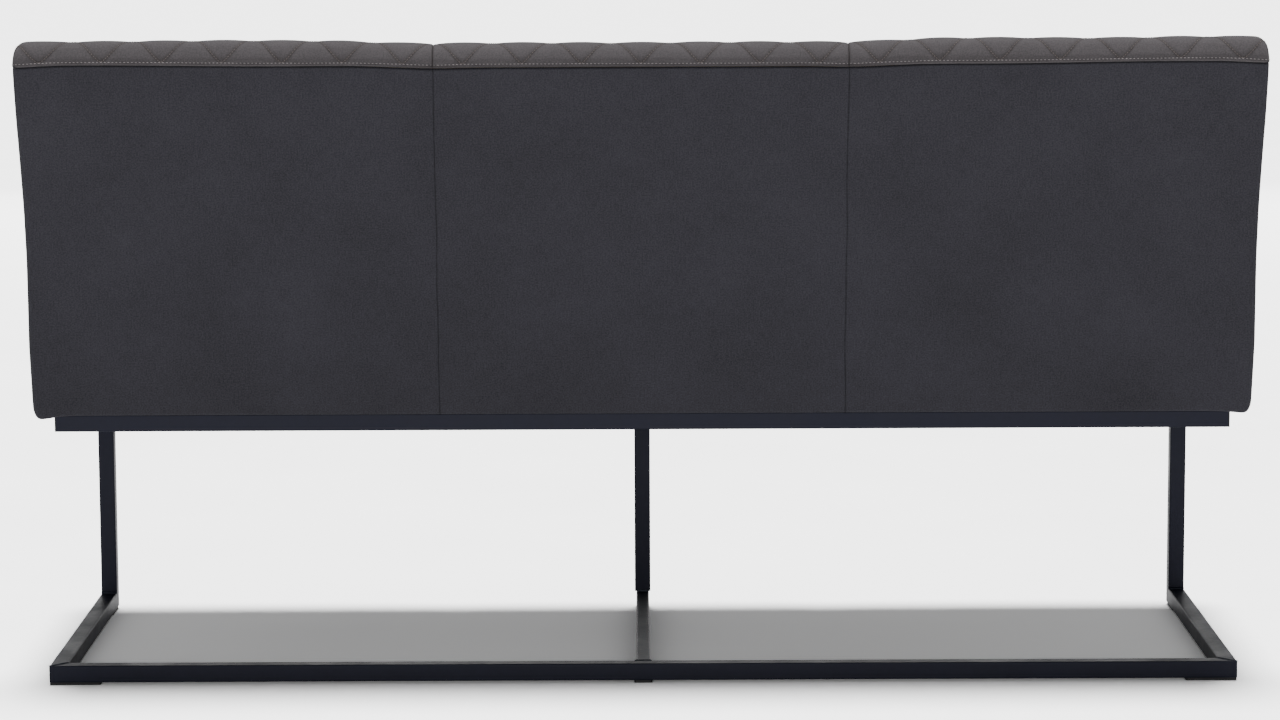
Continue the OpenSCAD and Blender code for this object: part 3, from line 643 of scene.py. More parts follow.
def clothMaterial(name):
    # weave height and tone on the cloth's own lengths, flecks of single yarns, a slow mottle, and painted
    # shade in the creases
    look = cloths[name]
    sheen = {"Sheen Weight": allCloth["sheen"], "Sheen Roughness": allCloth["sheenRough"]}
    material, tree, spot = newMaterial(name + " cloth", look["rough"], allCloth["specular"], **sheen)
    flat = newNode(tree, "ShaderNodeUVMap", uv_map="cloth").outputs[0]
    weave = useGroup(tree, fineWeave, Vector=flat, Pitch=look["pitch"])
    creaseShade = newNode(tree, "ShaderNodeAttribute", attribute_name="creaseShade").outputs["Fac"]
    fleck = noise(tree, flat, look["flecks"], *allCloth["fleck"])
    fleck = spread(tree, fleck, *allCloth["fleckSpan"])
    slow = spread(tree, mottled(tree, spot, allCloth["mottle"]), *allCloth["mottleSpan"])
    slow = times(tree, slow, allCloth["mottleShare"])
    tone = maths(tree, "ADD", maths(tree, "ADD", slow, fleck), weave["Tone"], clamp=True)
    colour = mixColour(tree, tone, look["dark"], look["light"])
    # painted shade: the colour is darkened towards the crease shade where the mask marks a crease
    colour = mixColour(tree, times(tree, creaseShade, allCloth["creaseShadeShare"]), colour, look["creaseShade"])
    rough = spread(tree, weave["Height"], 0, allCloth["weaveHigh"],
                   look["rough"] + allCloth["rougher"], look["rough"] - allCloth["smoother"])
    wrinkle = {"Height": noise(tree, spot, *allCloth["wrinkle"]),
               "Strength": allCloth["wrinkleStrength"], "Distance": allCloth["wrinkleDistance"]}
    soft = newNode(tree, "ShaderNodeBump", wrinkle).outputs[0]
    return paint(material, colour, rough, weave["Height"], allCloth["strength"], look["bump"], soft)


spun = {"rough": 0.6, "specular": 0.4, "draw": (1, 1.6, 1.6), "twist": 1500, "span": (0.35, 0.65),
        "bump": (0.5, 0.0002)}


def threadMaterial(name, light, dark):
    # twisted thread: fine ridges from noise drawn out along the bench
    material, tree, spot = newMaterial(name, spun["rough"], spun["specular"])
    twist = noise(tree, stretched(tree, spot, spun["draw"]), spun["twist"])
    colour = mixColour(tree, spread(tree, twist, *spun["span"]), dark, light)
    return paint(material, colour, None, twist, *spun["bump"])


coat = {
    "specular": 0.2, "tint": rgb(232, 231, 246), "grain": 1300.0, "mottle": 14.0,
    "mottleSpan": (0.35, 0.68), "speck": 0.12, "wearAndHighlightRadius": 0.0018, "edgeRadius": 0.0022,
    "roughSpan": (0.3, 0.7), "smoother": 0.06, "rougher": 0.1, "bump": (0.35, 0.00025),
}


def coatMaterial(name, base, light, rough=0.42, mottling=0.3, wearAndHighlight=0.5):
    # powder coat: orange peel, slow tone changes, softened corners, and edges a little lighter as rubbing
    # and as a painted highlight
    tint = {"Specular Tint": coat["tint"]}
    material, tree, spot = newMaterial(name, rough, coat["specular"], **tint)
    grain = useGroup(tree, coatGrain, Vector=spot, Scale=coat["grain"])
    mottle = mottled(tree, spot, coat["mottle"])
    wornAndLit = useGroup(tree, edgeWearAndHighlight, Vector=spot, Radius=coat["wearAndHighlightRadius"], Amount=wearAndHighlight)["Mask"]
    slow = times(tree, spread(tree, mottle, *coat["mottleSpan"]), mottling)
    colour = mixColour(tree, slow, base, light)
    colour = mixColour(tree, times(tree, grain["Speck"], coat["speck"]), colour, light)
    uneven = spread(tree, mottle, *coat["roughSpan"], rough - coat["smoother"], rough + coat["rougher"])
    # painted highlight and wear: the edges are mixed towards the light colour
    return paint(material, mixColour(tree, wornAndLit, colour, light), uneven, grain["Height"],
                 *coat["bump"], roundedNormal(tree, coat["edgeRadius"]))


plastic = {
    "rough": 0.55, "specular": 0.4, "grain": 2200.0, "wearAndHighlightRadius": 0.0008, "wearAndHighlight": 0.4, "mottle": 40.0,
    "mottleShare": 0.4, "roughSpan": (0.3, 0.7, 0.48, 0.66), "bump": (0.4, 0.0002),
}


def plasticMaterial(name, base, light):
    # fine moulded grain, a slow mottle, and edges a little lighter as rubbing and as a painted highlight
    material, tree, spot = newMaterial(name, plastic["rough"], plastic["specular"])
    grain = useGroup(tree, coatGrain, Vector=spot, Scale=plastic["grain"])
    wornAndLit = useGroup(tree, edgeWearAndHighlight, Vector=spot, Radius=plastic["wearAndHighlightRadius"], Amount=plastic["wearAndHighlight"])
    slow = times(tree, mottled(tree, spot, plastic["mottle"]), plastic["mottleShare"])
    # painted highlight and wear: the edges are mixed towards the light colour
    colour = mixColour(tree, wornAndLit["Mask"], mixColour(tree, slow, base, light), light)
    return paint(material, colour, spread(tree, grain["Height"], *plastic["roughSpan"]),
                 grain["Height"], *plastic["bump"])


zinc = {
    "rough": 0.35, "specular": 0.5, "mottle": 90.0, "dull": rgb(160, 162, 164),
    "bright": rgb(205, 205, 200), "roughSpan": (0.3, 0.7, 0.28, 0.46), "crystals": 700.0,
    "bump": (0.25, 0.0001),
}


def zincMaterial():
    # plated steel: a mottled plating, with the bump of its crystals from Voronoi cells
    material, tree, spot = newMaterial("zinc plating", zinc["rough"], zinc["specular"], Metallic=1.0)
    mottle = mottled(tree, spot, zinc["mottle"])
    return paint(material, mixColour(tree, mottle, zinc["dull"], zinc["bright"]),
                 spread(tree, mottle, *zinc["roughSpan"]), cells(tree, spot, zinc["crystals"]),
                 *zinc["bump"])


wood = {
    "rough": 0.62, "specular": 0.35, "distortion": 5.0, "detail": 3.0, "detailScale": 1.4,
    "pores": (420, 3, 0.6), "poreShare": 0.35, "ringShare": 0.6, "roughSpan": (0.3, 0.7, 0.55, 0.72),
    "bump": (0.3, 0.0004),
}


def woodMaterial(name, light, dark, stretch, rings, bands):
    # grain: bands of a wave distorted by noise and drawn out along the timber
    material, tree, spot = newMaterial(name, wood["rough"], wood["specular"])
    drawn = stretched(tree, spot, stretch)
    grain = {"Vector": drawn, "Scale": rings, "Distortion": wood["distortion"],
             "Detail": wood["detail"], "Detail Scale": wood["detailScale"]}
    wave = newNode(tree, "ShaderNodeTexWave", grain, bands_direction=bands).outputs["Fac"]
    pores = noise(tree, drawn, *wood["pores"])
    rings = times(tree, wave, wood["ringShare"])
    tone = maths(tree, "MULTIPLY_ADD", pores, wood["poreShare"], rings, clamp=True)
    return paint(material, mixColour(tree, tone, light, dark), spread(tree, pores, *wood["roughSpan"]),
                 pores, *wood["bump"])


sponge = {
    "rough": 0.95, "specular": 0.2, "cells": 900.0, "mottle": 12.0, "yellow": rgb(214, 206, 176),
    "pale": rgb(232, 228, 208), "hollow": rgb(170, 160, 128), "hollowSpan": (0.1, 0.5, 0.5, 0.0),
    "bump": (0.7, 0.0006),
}


def foamMaterial():
    # open cells from Voronoi distances, with a slow yellowing
    material, tree, spot = newMaterial("foam", sponge["rough"], sponge["specular"])
    hollow = cells(tree, spot, sponge["cells"])
    colour = mixColour(tree, mottled(tree, spot, sponge["mottle"]), sponge["yellow"], sponge["pale"])
    colour = mixColour(tree, spread(tree, hollow, *sponge["hollowSpan"]), colour, sponge["hollow"])
    return paint(material, colour, None, hollow, *sponge["bump"])


strap = {
    "rough": 0.85, "specular": 0.3, "uneven": 0.5, "mottle": 20.0, "mottleShare": 0.5,
    "weaveHigh": 1.4, "roughStep": 0.08, "bump": (0.6, 0.0004),
}


def strapMaterial(name, base, light, pitch):
    # flat yarns: the same weave group on the piece's own coordinates
    rough, step = strap["rough"], strap["roughStep"]
    material, tree, spot = newMaterial(name, rough, strap["specular"])
    weave = useGroup(tree, fineWeave, Vector=spot, Pitch=pitch, Uneven=strap["uneven"])
    slow = times(tree, mottled(tree, spot, strap["mottle"]), strap["mottleShare"])
    tone = maths(tree, "ADD", slow, weave["Tone"], clamp=True)
    return paint(material, mixColour(tree, tone, base, light),
                 spread(tree, weave["Height"], 0, strap["weaveHigh"], rough + step, rough - step),
                 weave["Height"], *strap["bump"])


finishes = {
    "steel_frame": coatMaterial("blue black powder coat", rgb(19, 21, 32), rgb(37, 39, 54)),
    "weld": coatMaterial("coated weld", rgb(17, 20, 30), rgb(74, 78, 88), 0.5, 0.9, 0.6),
    "glides": plasticMaterial("glide plastic", rgb(18, 18, 20), rgb(44, 44, 48)),
    "end_caps": plasticMaterial("end cap plastic", rgb(20, 20, 23), rgb(46, 46, 50)),
    "fasteners": zincMaterial(),
    "dust_cloth": strapMaterial("dust cloth", rgb(20, 20, 21), rgb(36, 36, 38), 0.0011),
    "webbing": strapMaterial("webbing", rgb(34, 34, 35), rgb(70, 70, 72), 0.0022),
    "foam": foamMaterial(),
    "timber": woodMaterial("planed pine", rgb(214, 186, 142), rgb(176, 138, 92),
                           (0.3, 3.0, 3.0), 9.0, "DIAGONAL"),
    "plywood": woodMaterial("plywood", rgb(200, 172, 130), rgb(160, 126, 86),
                            (60.0, 1.0, 1.0), 6.0, "X"),
    "quilted_cover": clothMaterial("quilted"),
    "seat_cover": clothMaterial("seat"),
    "plain_cover": clothMaterial("plain"),
}
threads = {
    "welt": threadMaterial("topstitch thread", rgb(158, 152, 152), rgb(112, 107, 108)),
    "quilting": threadMaterial("quilting thread", rgb(116, 106, 101), rgb(84, 76, 72)),
}
threads["seat"] = threads["quilting"]
# The nodes of the frame in each slot, by how their names start
slotNodes = {
    "steel_frame": ("floor_", "upright_", "seat_arm_", "seat_front_bar", "seat_rear_bar"),
    "weld": ("weld_beads",), "end_caps": ("tube_end_caps",), "glides": ("rear_glide_", "front_glides"),
    "fasteners": ("frame_bolts", "bolt_washers", "threaded_inserts", "post_screws"),
    "timber": ("seat_rail_", "seat_cross_rails", "corner_blocks", "back_top_rail"),
    "webbing": ("seat_webbing",), "foam": ("seat_foam", "back_foam"),
    "plywood": ("back_post_", "back_board"),
}
for nodeName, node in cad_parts.items():
    for slotName, starts in slotNodes.items():
        if nodeName.startswith(starts):
            node.data.materials.clear()
            node.data.materials.append(finishes[slotName])
print("materials made")


def dress(piece, slotName, *nodes, material=None, fill=None):
    # gives a finished piece the material of its slot and the root body, and hides the nodes that it stands
    # for
    piece.data.materials.append(material or finishes[slotName])
    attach(piece, "root")
    if nodes:
        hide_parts(*nodes)


# How the outer panels stand fuller than the middle one, and where the welt wanders, in metres; each
# rise has its amount and where across the panel it starts and ends
fullness = {
    "top": 0.0013, "topReach": 0.03, "outerTop": 0.0046, "outerReach": 0.16, "shoulder": (1.5, 0.3),
    "middleRise": (0.0016, -0.01, 0.07), "outerRise": (0.0046, -0.02, 0.13), "farRise": (0.0026, 0.2, 0.5),
    "endFall": (0.0036, 0.53, 0.61), "swellZ": (0.40, 0.49, 0.62, 0.7, 0.8, 0.88, 0.91, 0.94),
    "swell": (0.0026, 0.0047, 0.002, 0.0022, 0.0046, 0.008, 0.0072, 0.004),
}


def weltRise(f, side):
    # height of the welt above its straight line at f across a panel: a little up in the middle panel,
    # more in an outer one, and down again at its outer end
    def part(key, at):
        amount, low, high = fullness[key]
        return amount * rise(at, low, high)

    if side == 0:
        return part("middleRise", np.minimum(f, panelWide - f))
    return part("outerRise", f) + part("farRise", f) - part("endFall", f)


def sideSwell(z):
    # how far the body stands out past its plain width at a height
    return np.interp(z, fullness["swellZ"], fullness["swell"])


def heldRim(across, along, d, full, long, widths):
    # true within the widths given for the seams, the outer end, the first rows and the last rows
    seam, end, first, last = widths
    return (d < seam) | (across > full - end) | (along < first) | (along > long - last)


# Back pads: diamonds puffed between stitched channels, with a folded and topstitched edge at the
# welt; a dent has its amount and reach, a wave its length and seed, and an uneven all of amount,
# length and seed, in metres
quilt = {
    "cols": 7, "rows": 4, "steps": 24, "shares": 600, "depth": 0.0024, "frontDepth": 0.0044,
    "deepening": (0.05, 0.14), "power": 0.34, "endRoll": 0.014, "topstitch": 0.0056,
    "tight": 0.13, "tightReach": 0.06, "fade": 0.005, "fill": 0.6,
    "weltRows": (0.0, 0.0005, 0.0013, 0.0024, 0.0036, 0.0047),
    "weltDrops": (0.005, 0.0028, 0.0013, 0.0007, 0.0006, 0.0011, 0.0021),
    "seamCols": (0.00003, 0.0007, 0.0016, 0.0028), "seam": (0.0004, 0.009), "groove": (0.0018, 0.0011),
    "endDent": (0.003, 0.012), "weltDent": (0.0021, 0.0035), "pucker": (0.0003, 0.012),
    "puckerWave": (0.021, 11), "uneven": (0.0006, 0.31, 5), "slant": 0.4, "weltFade": 0.05,
    "swellEnd": 0.06, "swellFade": (0.16, 0.08), "thinnest": 0.0008, "underCols": 15, "lip": 0.9,
    "lipEdge": (0.0002, 0.002), "creaseWide": 0.10, "creaseSeam": 0.0012, "heldWide": 0.16,
    "heldFade": (0.06, 0.13), "rim": (0.003, 0.002, 0.0066, 0.004),
    "air": {"pressure": 60.0, "cap": 0.0025, "stiff": 15, "bend": 0.3},
}


def backPad(sideName):
    # rows run up from the welt over the top and down the front; a diamond's height over its channels
    # is |cos pi(u + v) cos pi(u - v)| to a power, u and v counting diamonds across and along; v runs
    # a little faster by (1 - share)(1 - exp(-share / reach)) where the cloth is drawn in at the welt
    side = sides[sideName]
    full = clothWide(side, quilt["endRoll"])
    fine = np.array(quilt["seamCols"])
    even = np.linspace(0, full, quilt["cols"] * quilt["steps"] + 1)[1:]
    f = np.concatenate([fine, even] if side else [fine, even[:-1], full - fine[::-1]])
    s0 = quilt["topstitch"]
    evenV = np.linspace(0, quilt["rows"], quilt["rows"] * quilt["steps"] + 1)
    share = np.linspace(0, 1, quilt["shares"])
    drawnIn = (1 - share) * (1 - np.exp(-share / quilt["tightReach"]))
    vAt = share * quilt["rows"] + quilt["tight"] * drawnIn
    s = np.concatenate([quilt["weltRows"], s0 + np.interp(evenV, vAt, share) * (backLong - s0)])
    across, along, d = clothGrid(side, f, s, full)
    u = across / full * quilt["cols"]
    v = np.concatenate([np.zeros(len(quilt["weltRows"])), evenV])[:, None]
    lines = np.abs(np.cos(np.pi * (u + v))), np.abs(np.cos(np.pi * (u - v)))
    puff, channel = (lines[0] * lines[1]) ** quilt["power"], np.minimum(*lines)

    past = np.maximum(0, along - s0)
    seam = dent(quilt["seam"], d) + dent(quilt["groove"], d)
    depth = quilt["depth"] + (quilt["frontDepth"] - quilt["depth"]) * rise(along, *quilt["deepening"])
    drop = depth * (1 - puff) * rise(past, 0, quilt["fade"]) + seam
    drop -= fullness["top"] * rise(past, 0, fullness["topReach"])
    drop += dent(quilt["endDent"], backLong - along) + dent(quilt["weltDent"], past)
    drop = np.where(along < s0, np.interp(along, [*quilt["weltRows"], s0], quilt["weltDrops"]) + seam, drop)
    drop += dent(quilt["pucker"], past) * waver(across, *quilt["puckerWave"], side)
    drop -= wobble(quilt["uneven"], across + quilt["slant"] * along, side)
    if side != 0:
        toTop = rise(np.abs(np.pi / 2 - backLine(along)[2]), *fullness["shoulder"])
        drop -= fullness["outerTop"] * rise(across, 0, fullness["outerReach"]) * toTop

    x, turned = acrossCloth(across, side, quilt["endRoll"])
    along = along + weltRise(across, side) * np.clip(1 - along / quilt["weltFade"], 0, 1)
    cover = letIn(x, backLine(along), np.minimum(turned + drop, bench["padDeep"] - quilt["thinnest"]))
    if side != 0:
        atEnd = rise(across, panelWide - quilt["swellEnd"], panelWide)
        cover[..., 0] += side * atEnd * sideSwell(cover[..., 2]) * rise(along, *quilt["swellFade"])
    under = underside(cover, backLine(s), bench["padDeep"], quilt["underCols"])
    low, high = quilt["lipEdge"]
    # painted shade: darker in the diamonds' channels, beside the seams and on the lip under the topstitch
    creaseShade = hump(channel, quilt["creaseWide"]) * (past > 0)
    creaseShade = np.maximum(creaseShade, hump(d, quilt["creaseSeam"]))
    creaseShade = np.maximum(creaseShade, quilt["lip"] * rise(along, s0 - low, s0 - high))
    flat = np.stack([across, along], -1)
    piece, shape = coveredPiece("quilted_back_" + sideName, cover, under, flat, creaseShade)
    rim = heldRim(across, along, d, full, backLong, quilt["rim"])
    held = np.maximum(hump(channel, quilt["heldWide"]), rim)
    blowUp(piece, cover, np.maximum(held, 1 - rise(along, *quilt["heldFade"])), quilt["air"])
    return piece, shape, full


pads = {name: backPad(name) for name in sides}
print("back pads made")


# Seat pads: crowned cushions, drawn in at their seams, that turn down over the front edge
seat = {
    "cols": 56, "topRows": 44, "rollRows": 12, "fallRows": 12, "endRoll": 0.014, "underCols": 9,
    "fine": (0.00003, 0.0007, 0.0016, 0.0028, 0.005, 0.0065, 0.008, 0.012), "threadCol": 5,
    "backRows": (0, 0.0007, 0.0016, 0.0032, 0.0055, 0.008), "frontRows": (0.006, 0.003, 0.001, 0),
    "inset": 0.001, "seam": (0.004, 0.013), "groove": (0.0055, 0.002), "threadDent": (0.0012, 0.0016),
    "backDent": (0.0032, 0.011), "frontDent": (0.0032, 0.008), "crown": (0.002, 0.6),
    "pucker": (0.0004, 0.03, 31), "uneven": (0.0007, 0.27, 41), "slant": 0.6, "thinnest": 0.001,
    "rim": (0.004, 0.004, 0.003, 0.006), "fill": 0.7,
    "air": {"pressure": 0.3, "cap": 0.006, "stiff": 15, "bend": 0.6},
}


def seatPad(sideName):
    # rows run forward over the crown and down the front; each seam draws the cover in by a hump
    side = sides[sideName]
    full = clothWide(side, seat["endRoll"])
    f = seamSpots(full, seat["fine"], seat["cols"], side == 0)
    front = seatLong - np.array(seat["frontRows"])
    back = seat["backRows"]
    s = np.concatenate([back, np.linspace(back[-1], seatTopLong, seat["topRows"])[1:],
                        seatTopLong + np.linspace(0, seatRollLong, seat["rollRows"])[1:],
                        np.linspace(seatTopLong + seatRollLong, front[0], seat["fallRows"])[1:],
                        front[1:]])
    across, along, d = clothGrid(side, f, s, full)
    seam, narrow = hump(d, seat["seam"][1]), hump(d, seat["groove"][1])
    crown, power = seat["crown"]
    drop = seat["inset"] + seat["seam"][0] * seam + seat["groove"][0] * narrow
    drop += dent(seat["threadDent"], d - seat["fine"][seat["threadCol"]])
    drop += dent(seat["backDent"], along) + dent(seat["frontDent"], seatLong - along)
    drop -= crown * np.sin(np.pi * np.clip(across / panelWide, 0, 1)) ** power
    drop += wobble(seat["pucker"], along, side) * seam
    drop -= wobble(seat["uneven"], across + seat["slant"] * along, side)
    x, turned = acrossCloth(across, side, seat["endRoll"])
    cover = letIn(x, seatLine(along), np.minimum(turned + drop, bench["seatDeep"] - seat["thinnest"]))
    under = underside(cover, seatLine(s), bench["seatDeep"], seat["underCols"])
    flat = seatLine(s)[2][:, None] <= np.pi / 2
    under[..., 2] = np.where(flat, seatPadLow, under[..., 2])
    # the narrow seam groove also carries the painted shade of the seat cover
    piece, shape = coveredPiece("seat_pad_" + sideName, cover, under, np.stack([across, along], -1), narrow)
    held = heldRim(across, along, d, full, seatLong, seat["rim"]).astype(float)
    blowUp(piece, cover, held, seat["air"])
    return piece, shape


seats = {name: seatPad(name) for name in sides}
print("seat pads made")

# Rear covers: plain cloth drawn over thin wadding, with narrow seams and a rolled lower edge
rear = {
    "deep": 0.005, "wrap": 0.0085, "lift": 0.0042, "roll": 0.0034, "corner": 0.013, "cornerHigh": 0.02,
    "cornerPast": 1.2, "spare": 0.0001, "fill": 0.3,
    "fine": (0.0, 0.0006, 0.0013, 0.0021, 0.0031, 0.0045, 0.0065, 0.0095, 0.014, 0.021),
    "cols": 26, "rows": 24, "endCols": 9, "underCols": 9, "seam": (0.0010, 0.0008),
    "soft": (0.0006, 0.013), "seamPucker": (0.00045, 0.010), "seamWave": (0.024, 90),
    "weltDent": (0.0028, 0.0013), "weltSoft": (0.0005, 0.014), "weltPucker": (0.0004, 0.012),
    "weltWave": (0.028, 60), "weltFade": 0.12, "crown": 0.0012, "uneven": (0.0005, 0.36, 20),
    "slant": 0.3, "wander": (0.0009, 0.19, 70), "wanderReach": 0.05, "swellEnd": 0.09,
    "tuck": (0.0016, 0.02), "creaseSeam": (0.4, 0.0008), "creaseWelt": 0.0014,
    "sag": {"left": 0.0028, "middle": 0, "right": 0.0052}, "sagX": (0.855, 0.885), "sagHigh": 0.09,
}
rearLow = coverLow + rear["lift"]


def lowCorner(x, z, half):
    # rounds the lower outer corner: a rectangle goes onto a quarter ellipse by the elliptical map,
    # p' = p sqrt(1 - q squared / 2) and the same with p and q exchanged
    wide, high = rear["corner"], rear["cornerHigh"]
    p = np.clip(1 - (half - np.abs(x)) / wide, 0, rear["cornerPast"])
    q = np.clip(1 - (z - rearLow) / high, 0, 1)
    inP, inQ = p * np.sqrt(1 - q * q / 2), q * np.sqrt(1 - p * p / 2)
    x = np.where(p > 0, np.sign(x) * (half - wide * (1 - inP)), x)
    return x, np.where(q > 0, rearLow + high * (1 - inQ), z)


def rearSag(x, z, deep):
    # how far the free lower corners hang: deep times a rise outwards times a rise downwards
    return deep * rise(np.abs(x), *rear["sagX"]) * rise(z, rearLow + rear["sagHigh"], rearLow)


def plainCover(name, node, sideName, fill, *shape):
    # a piece of plain cloth that stands for one node and needs no air, only rounding
    piece, _ = coveredPiece(name + sideName, *shape)
    subdivide(piece)
    dress(piece, "plain_cover", node + sideName, fill=fill)


def rearCover(sideName):
    # rows run up from the lower edge to the welt; the cloth is let in by humps at its seams and edges
    side = sides[sideName]
    r = rear["wrap"]
    full = clothWide(side, r)
    f = seamSpots(full, rear["fine"], rear["cols"], side == 0)
    if side != 0:
        f = np.concatenate([f[f < full - 2 * r], np.linspace(full - 2 * r, full, rear["endCols"])])
    tall = bench["weltZ"] - rearLow
    across, height, d = clothGrid(side, f, seamSpots(tall, rear["fine"], rear["rows"]), full)
    fromTop = tall - height
    x, turned = acrossCloth(across, side, r)
    z = rearLow + height
    wander = np.where(x < 0, wobble(rear["wander"], z), wobble(rear["wander"], z, 1))
    x = x + wander * hump(d, rear["wanderReach"])
    drop = dent(rear["seam"], d) + dent(rear["soft"], d)
    drop += (1 + waver(z, *rear["seamWave"], side)) * dent(rear["seamPucker"], d)
    drop += dent(rear["weltDent"], fromTop) + dent(rear["weltSoft"], fromTop)
    drop += (1 + waver(across, *rear["weltWave"], side)) * dent(rear["weltPucker"], fromTop)
    q = np.clip(1 - height / rear["roll"], 0, 1)
    drop += rear["roll"] * (1 - np.sqrt(1 - q * q))
    inside = np.clip(across / panelWide, 0, 1)
    drop -= rear["crown"] * np.sin(np.pi * inside) * np.sin(np.pi * height / tall)
    uneven = wobble(rear["uneven"], across + rear["slant"] * height, side)
    drop -= uneven * hump(height - tall / 2, tall / 2)
    z = z + weltRise(across, side) * rise(height, tall - rear["weltFade"], tall)
    cover = letIn(x, rearLine(z), np.minimum(drop, rear["deep"] - bench["gap"]) + turned)
    if side != 0:
        atEnd = rise(across, panelWide - rear["swellEnd"], panelWide)
        cover[..., 0] += side * atEnd * sideSwell(cover[..., 2])
        half = bench["half"] + sideSwell(rearLow)
        cover[..., 0], cover[..., 2] = lowCorner(cover[..., 0], cover[..., 2], half)
        cover[..., 2] -= rearSag(cover[..., 0], cover[..., 2], rear["sag"][sideName])
    share = underShares(panelWide, rear["underCols"])[None, :, None]
    under = cover[:, :1] * (1 - share) + cover[:, -1:] * share
    y, _, angle = rearLine(under[..., 2])
    under[..., 1] = y - (rear["deep"] + rear["spare"]) * np.cos(angle)
    if side != 0:
        amount, reach = rear["tuck"]
        inner = bench["half"] - reach
        under[..., 0] -= side * amount * rise(side * under[..., 0], inner, bench["half"])
    # painted shade along the seams and just under the welt
    creaseShade = np.maximum(dent(rear["creaseSeam"], d), hump(fromTop, rear["creaseWelt"]))
    plainCover("rear_cover_", "rear_panel_", sideName, rear["fill"],
               cover, under, np.stack([across, height], -1), creaseShade)


for name in sides:
    rearCover(name)
print("rear covers made")

# Side covers: cloth-covered boards that close the ends of the back and of the seat
flank = {
    "evenCols": (0.1, 0.9, 18), "edgeCols": (0, 0.012, 0.03, 0.06), "underCols": 9,
    "crown": 0.0012, "edge": (0.0030, 0.0035), "fill": 0.25,
    "pucker": (0.0003, 0.01), "puckerWave": (0.03, 50), "endReach": 0.5, "creaseWide": 0.002,
    "straightRows": 30, "rollRows": 10, "weltGap": 0.004, "seatRows": 26, "seatRollRows": 9,
}


def sidePiece(name, node, sideName, rearEdge, frontEdge):
    # a grid between two edge lines in the plane of the side, crowned between them and let in all round
    side, edge = sides[sideName], np.array(flank["edgeCols"])
    w = np.concatenate([edge, np.linspace(*flank["evenCols"]), 1 - edge[::-1]])
    ahead, height = np.meshgrid(w, np.linspace(0, 1, len(rearEdge)))
    y, z = (rearEdge[:, k][:, None] * (1 - ahead) + frontEdge[:, k][:, None] * ahead for k in (0, 1))
    wide = np.hypot(*(rearEdge - frontEdge).T)[:, None]
    toEnd = np.minimum(height, 1 - height) * flank["endReach"]
    border = np.minimum(np.minimum(ahead, 1 - ahead) * wide, toEnd)
    let = dent(flank["edge"], border) - flank["crown"] * np.sin(np.pi * ahead) * np.sin(np.pi * height)
    let += (1 + waver(z + y, *flank["puckerWave"])) * dent(flank["pucker"], border)
    outer = bench["half"] - bench["sideRecess"]
    # painted shade along the let-in border of the side
    outside, creaseShade = np.stack([side * (outer - let), y, z], axis=-1), hump(border, flank["creaseWide"])
    if side > 0:
        outside, creaseShade = outside[:, ::-1], creaseShade[:, ::-1]
    keep = np.linspace(0, outside.shape[1] - 1, flank["underCols"]).round().astype(int)
    under = outside[:, keep].copy()
    under[..., 0] = side * (outer - bench["sideDeep"])
    plainCover(name, node, sideName, flank["fill"], outside, under, outside[..., 1:], creaseShade)


def insetPoints(line, s, t):
    # y and z of an outline at s, moved in by t along its normal
    return letIn(0, line(s), t)[..., 1:]


def behindFront(z, deep):
    # points at the given depth behind the back's leaning front
    return np.stack([frontY(z) + deep / np.cos(frontLean), z], axis=-1)


def backEdges():
    # up the rear line and round the small roll; up the front line and round the large one
    t = bench["padDeep"] + bench["gap"]
    low, turn = flank["straightRows"], flank["rollRows"] + 1
    z = np.linspace(rearLow, bench["weltZ"] - flank["weltGap"], low)
    back = insetPoints(rearLine, z, rear["deep"] + bench["gap"])
    behind = np.concatenate([back, insetPoints(backLine, np.linspace(0, rearRollLong, turn)[1:], t)])
    front = behindFront(np.linspace(rearLow, frontTopZ, low), t)
    roll = insetPoints(backLine, np.linspace(rollLong, rearRollLong + flatLong, turn)[1:], t)
    return behind, np.concatenate([front, roll])


def seatEdges():
    # from the back pad's underside forward to the front edge, as two lines of equal count
    t = bench["seatDeep"] + bench["gap"]
    count, turn = flank["seatRows"], flank["seatRollRows"]
    back = behindFront(np.linspace(coverLow, seatPadLow - bench["gap"], count), bench["padDeep"])
    roll = insetPoints(seatLine, np.linspace(seatTopLong + seatRollLong, seatTopLong, turn), t)
    z = np.linspace(coverLow, roll[0, 1], count - turn + 1)[:-1]
    return back, np.concatenate([np.stack([np.full(len(z), bench["seatFront"] + t), z], axis=-1), roll])


for name in ("left", "right"):
    sidePiece("back_end_", "back_side_", name, *backEdges())
    sidePiece("seat_end_", "seat_side_", name, *seatEdges())
print("side covers made")

# Weld lines: low rippled beads where the mitres of the rear corners and the middle butt joint show
bead = {
    "wide": 0.0021, "high": 0.0015, "step": 0.0007, "ripple": 0.0021, "tube": 0.025, "cols": 7,
    "valley": 0.7, "bow": 0.6, "phaseWave": (0.006, 0), "widthWave": (0.15, 0.009, 1),
    "end": (-0.0002, 0.001), "sink": 0.0002, "root": 0.0006,
    "seeds": {"left": 109, "middle": 120, "right": 111},
}


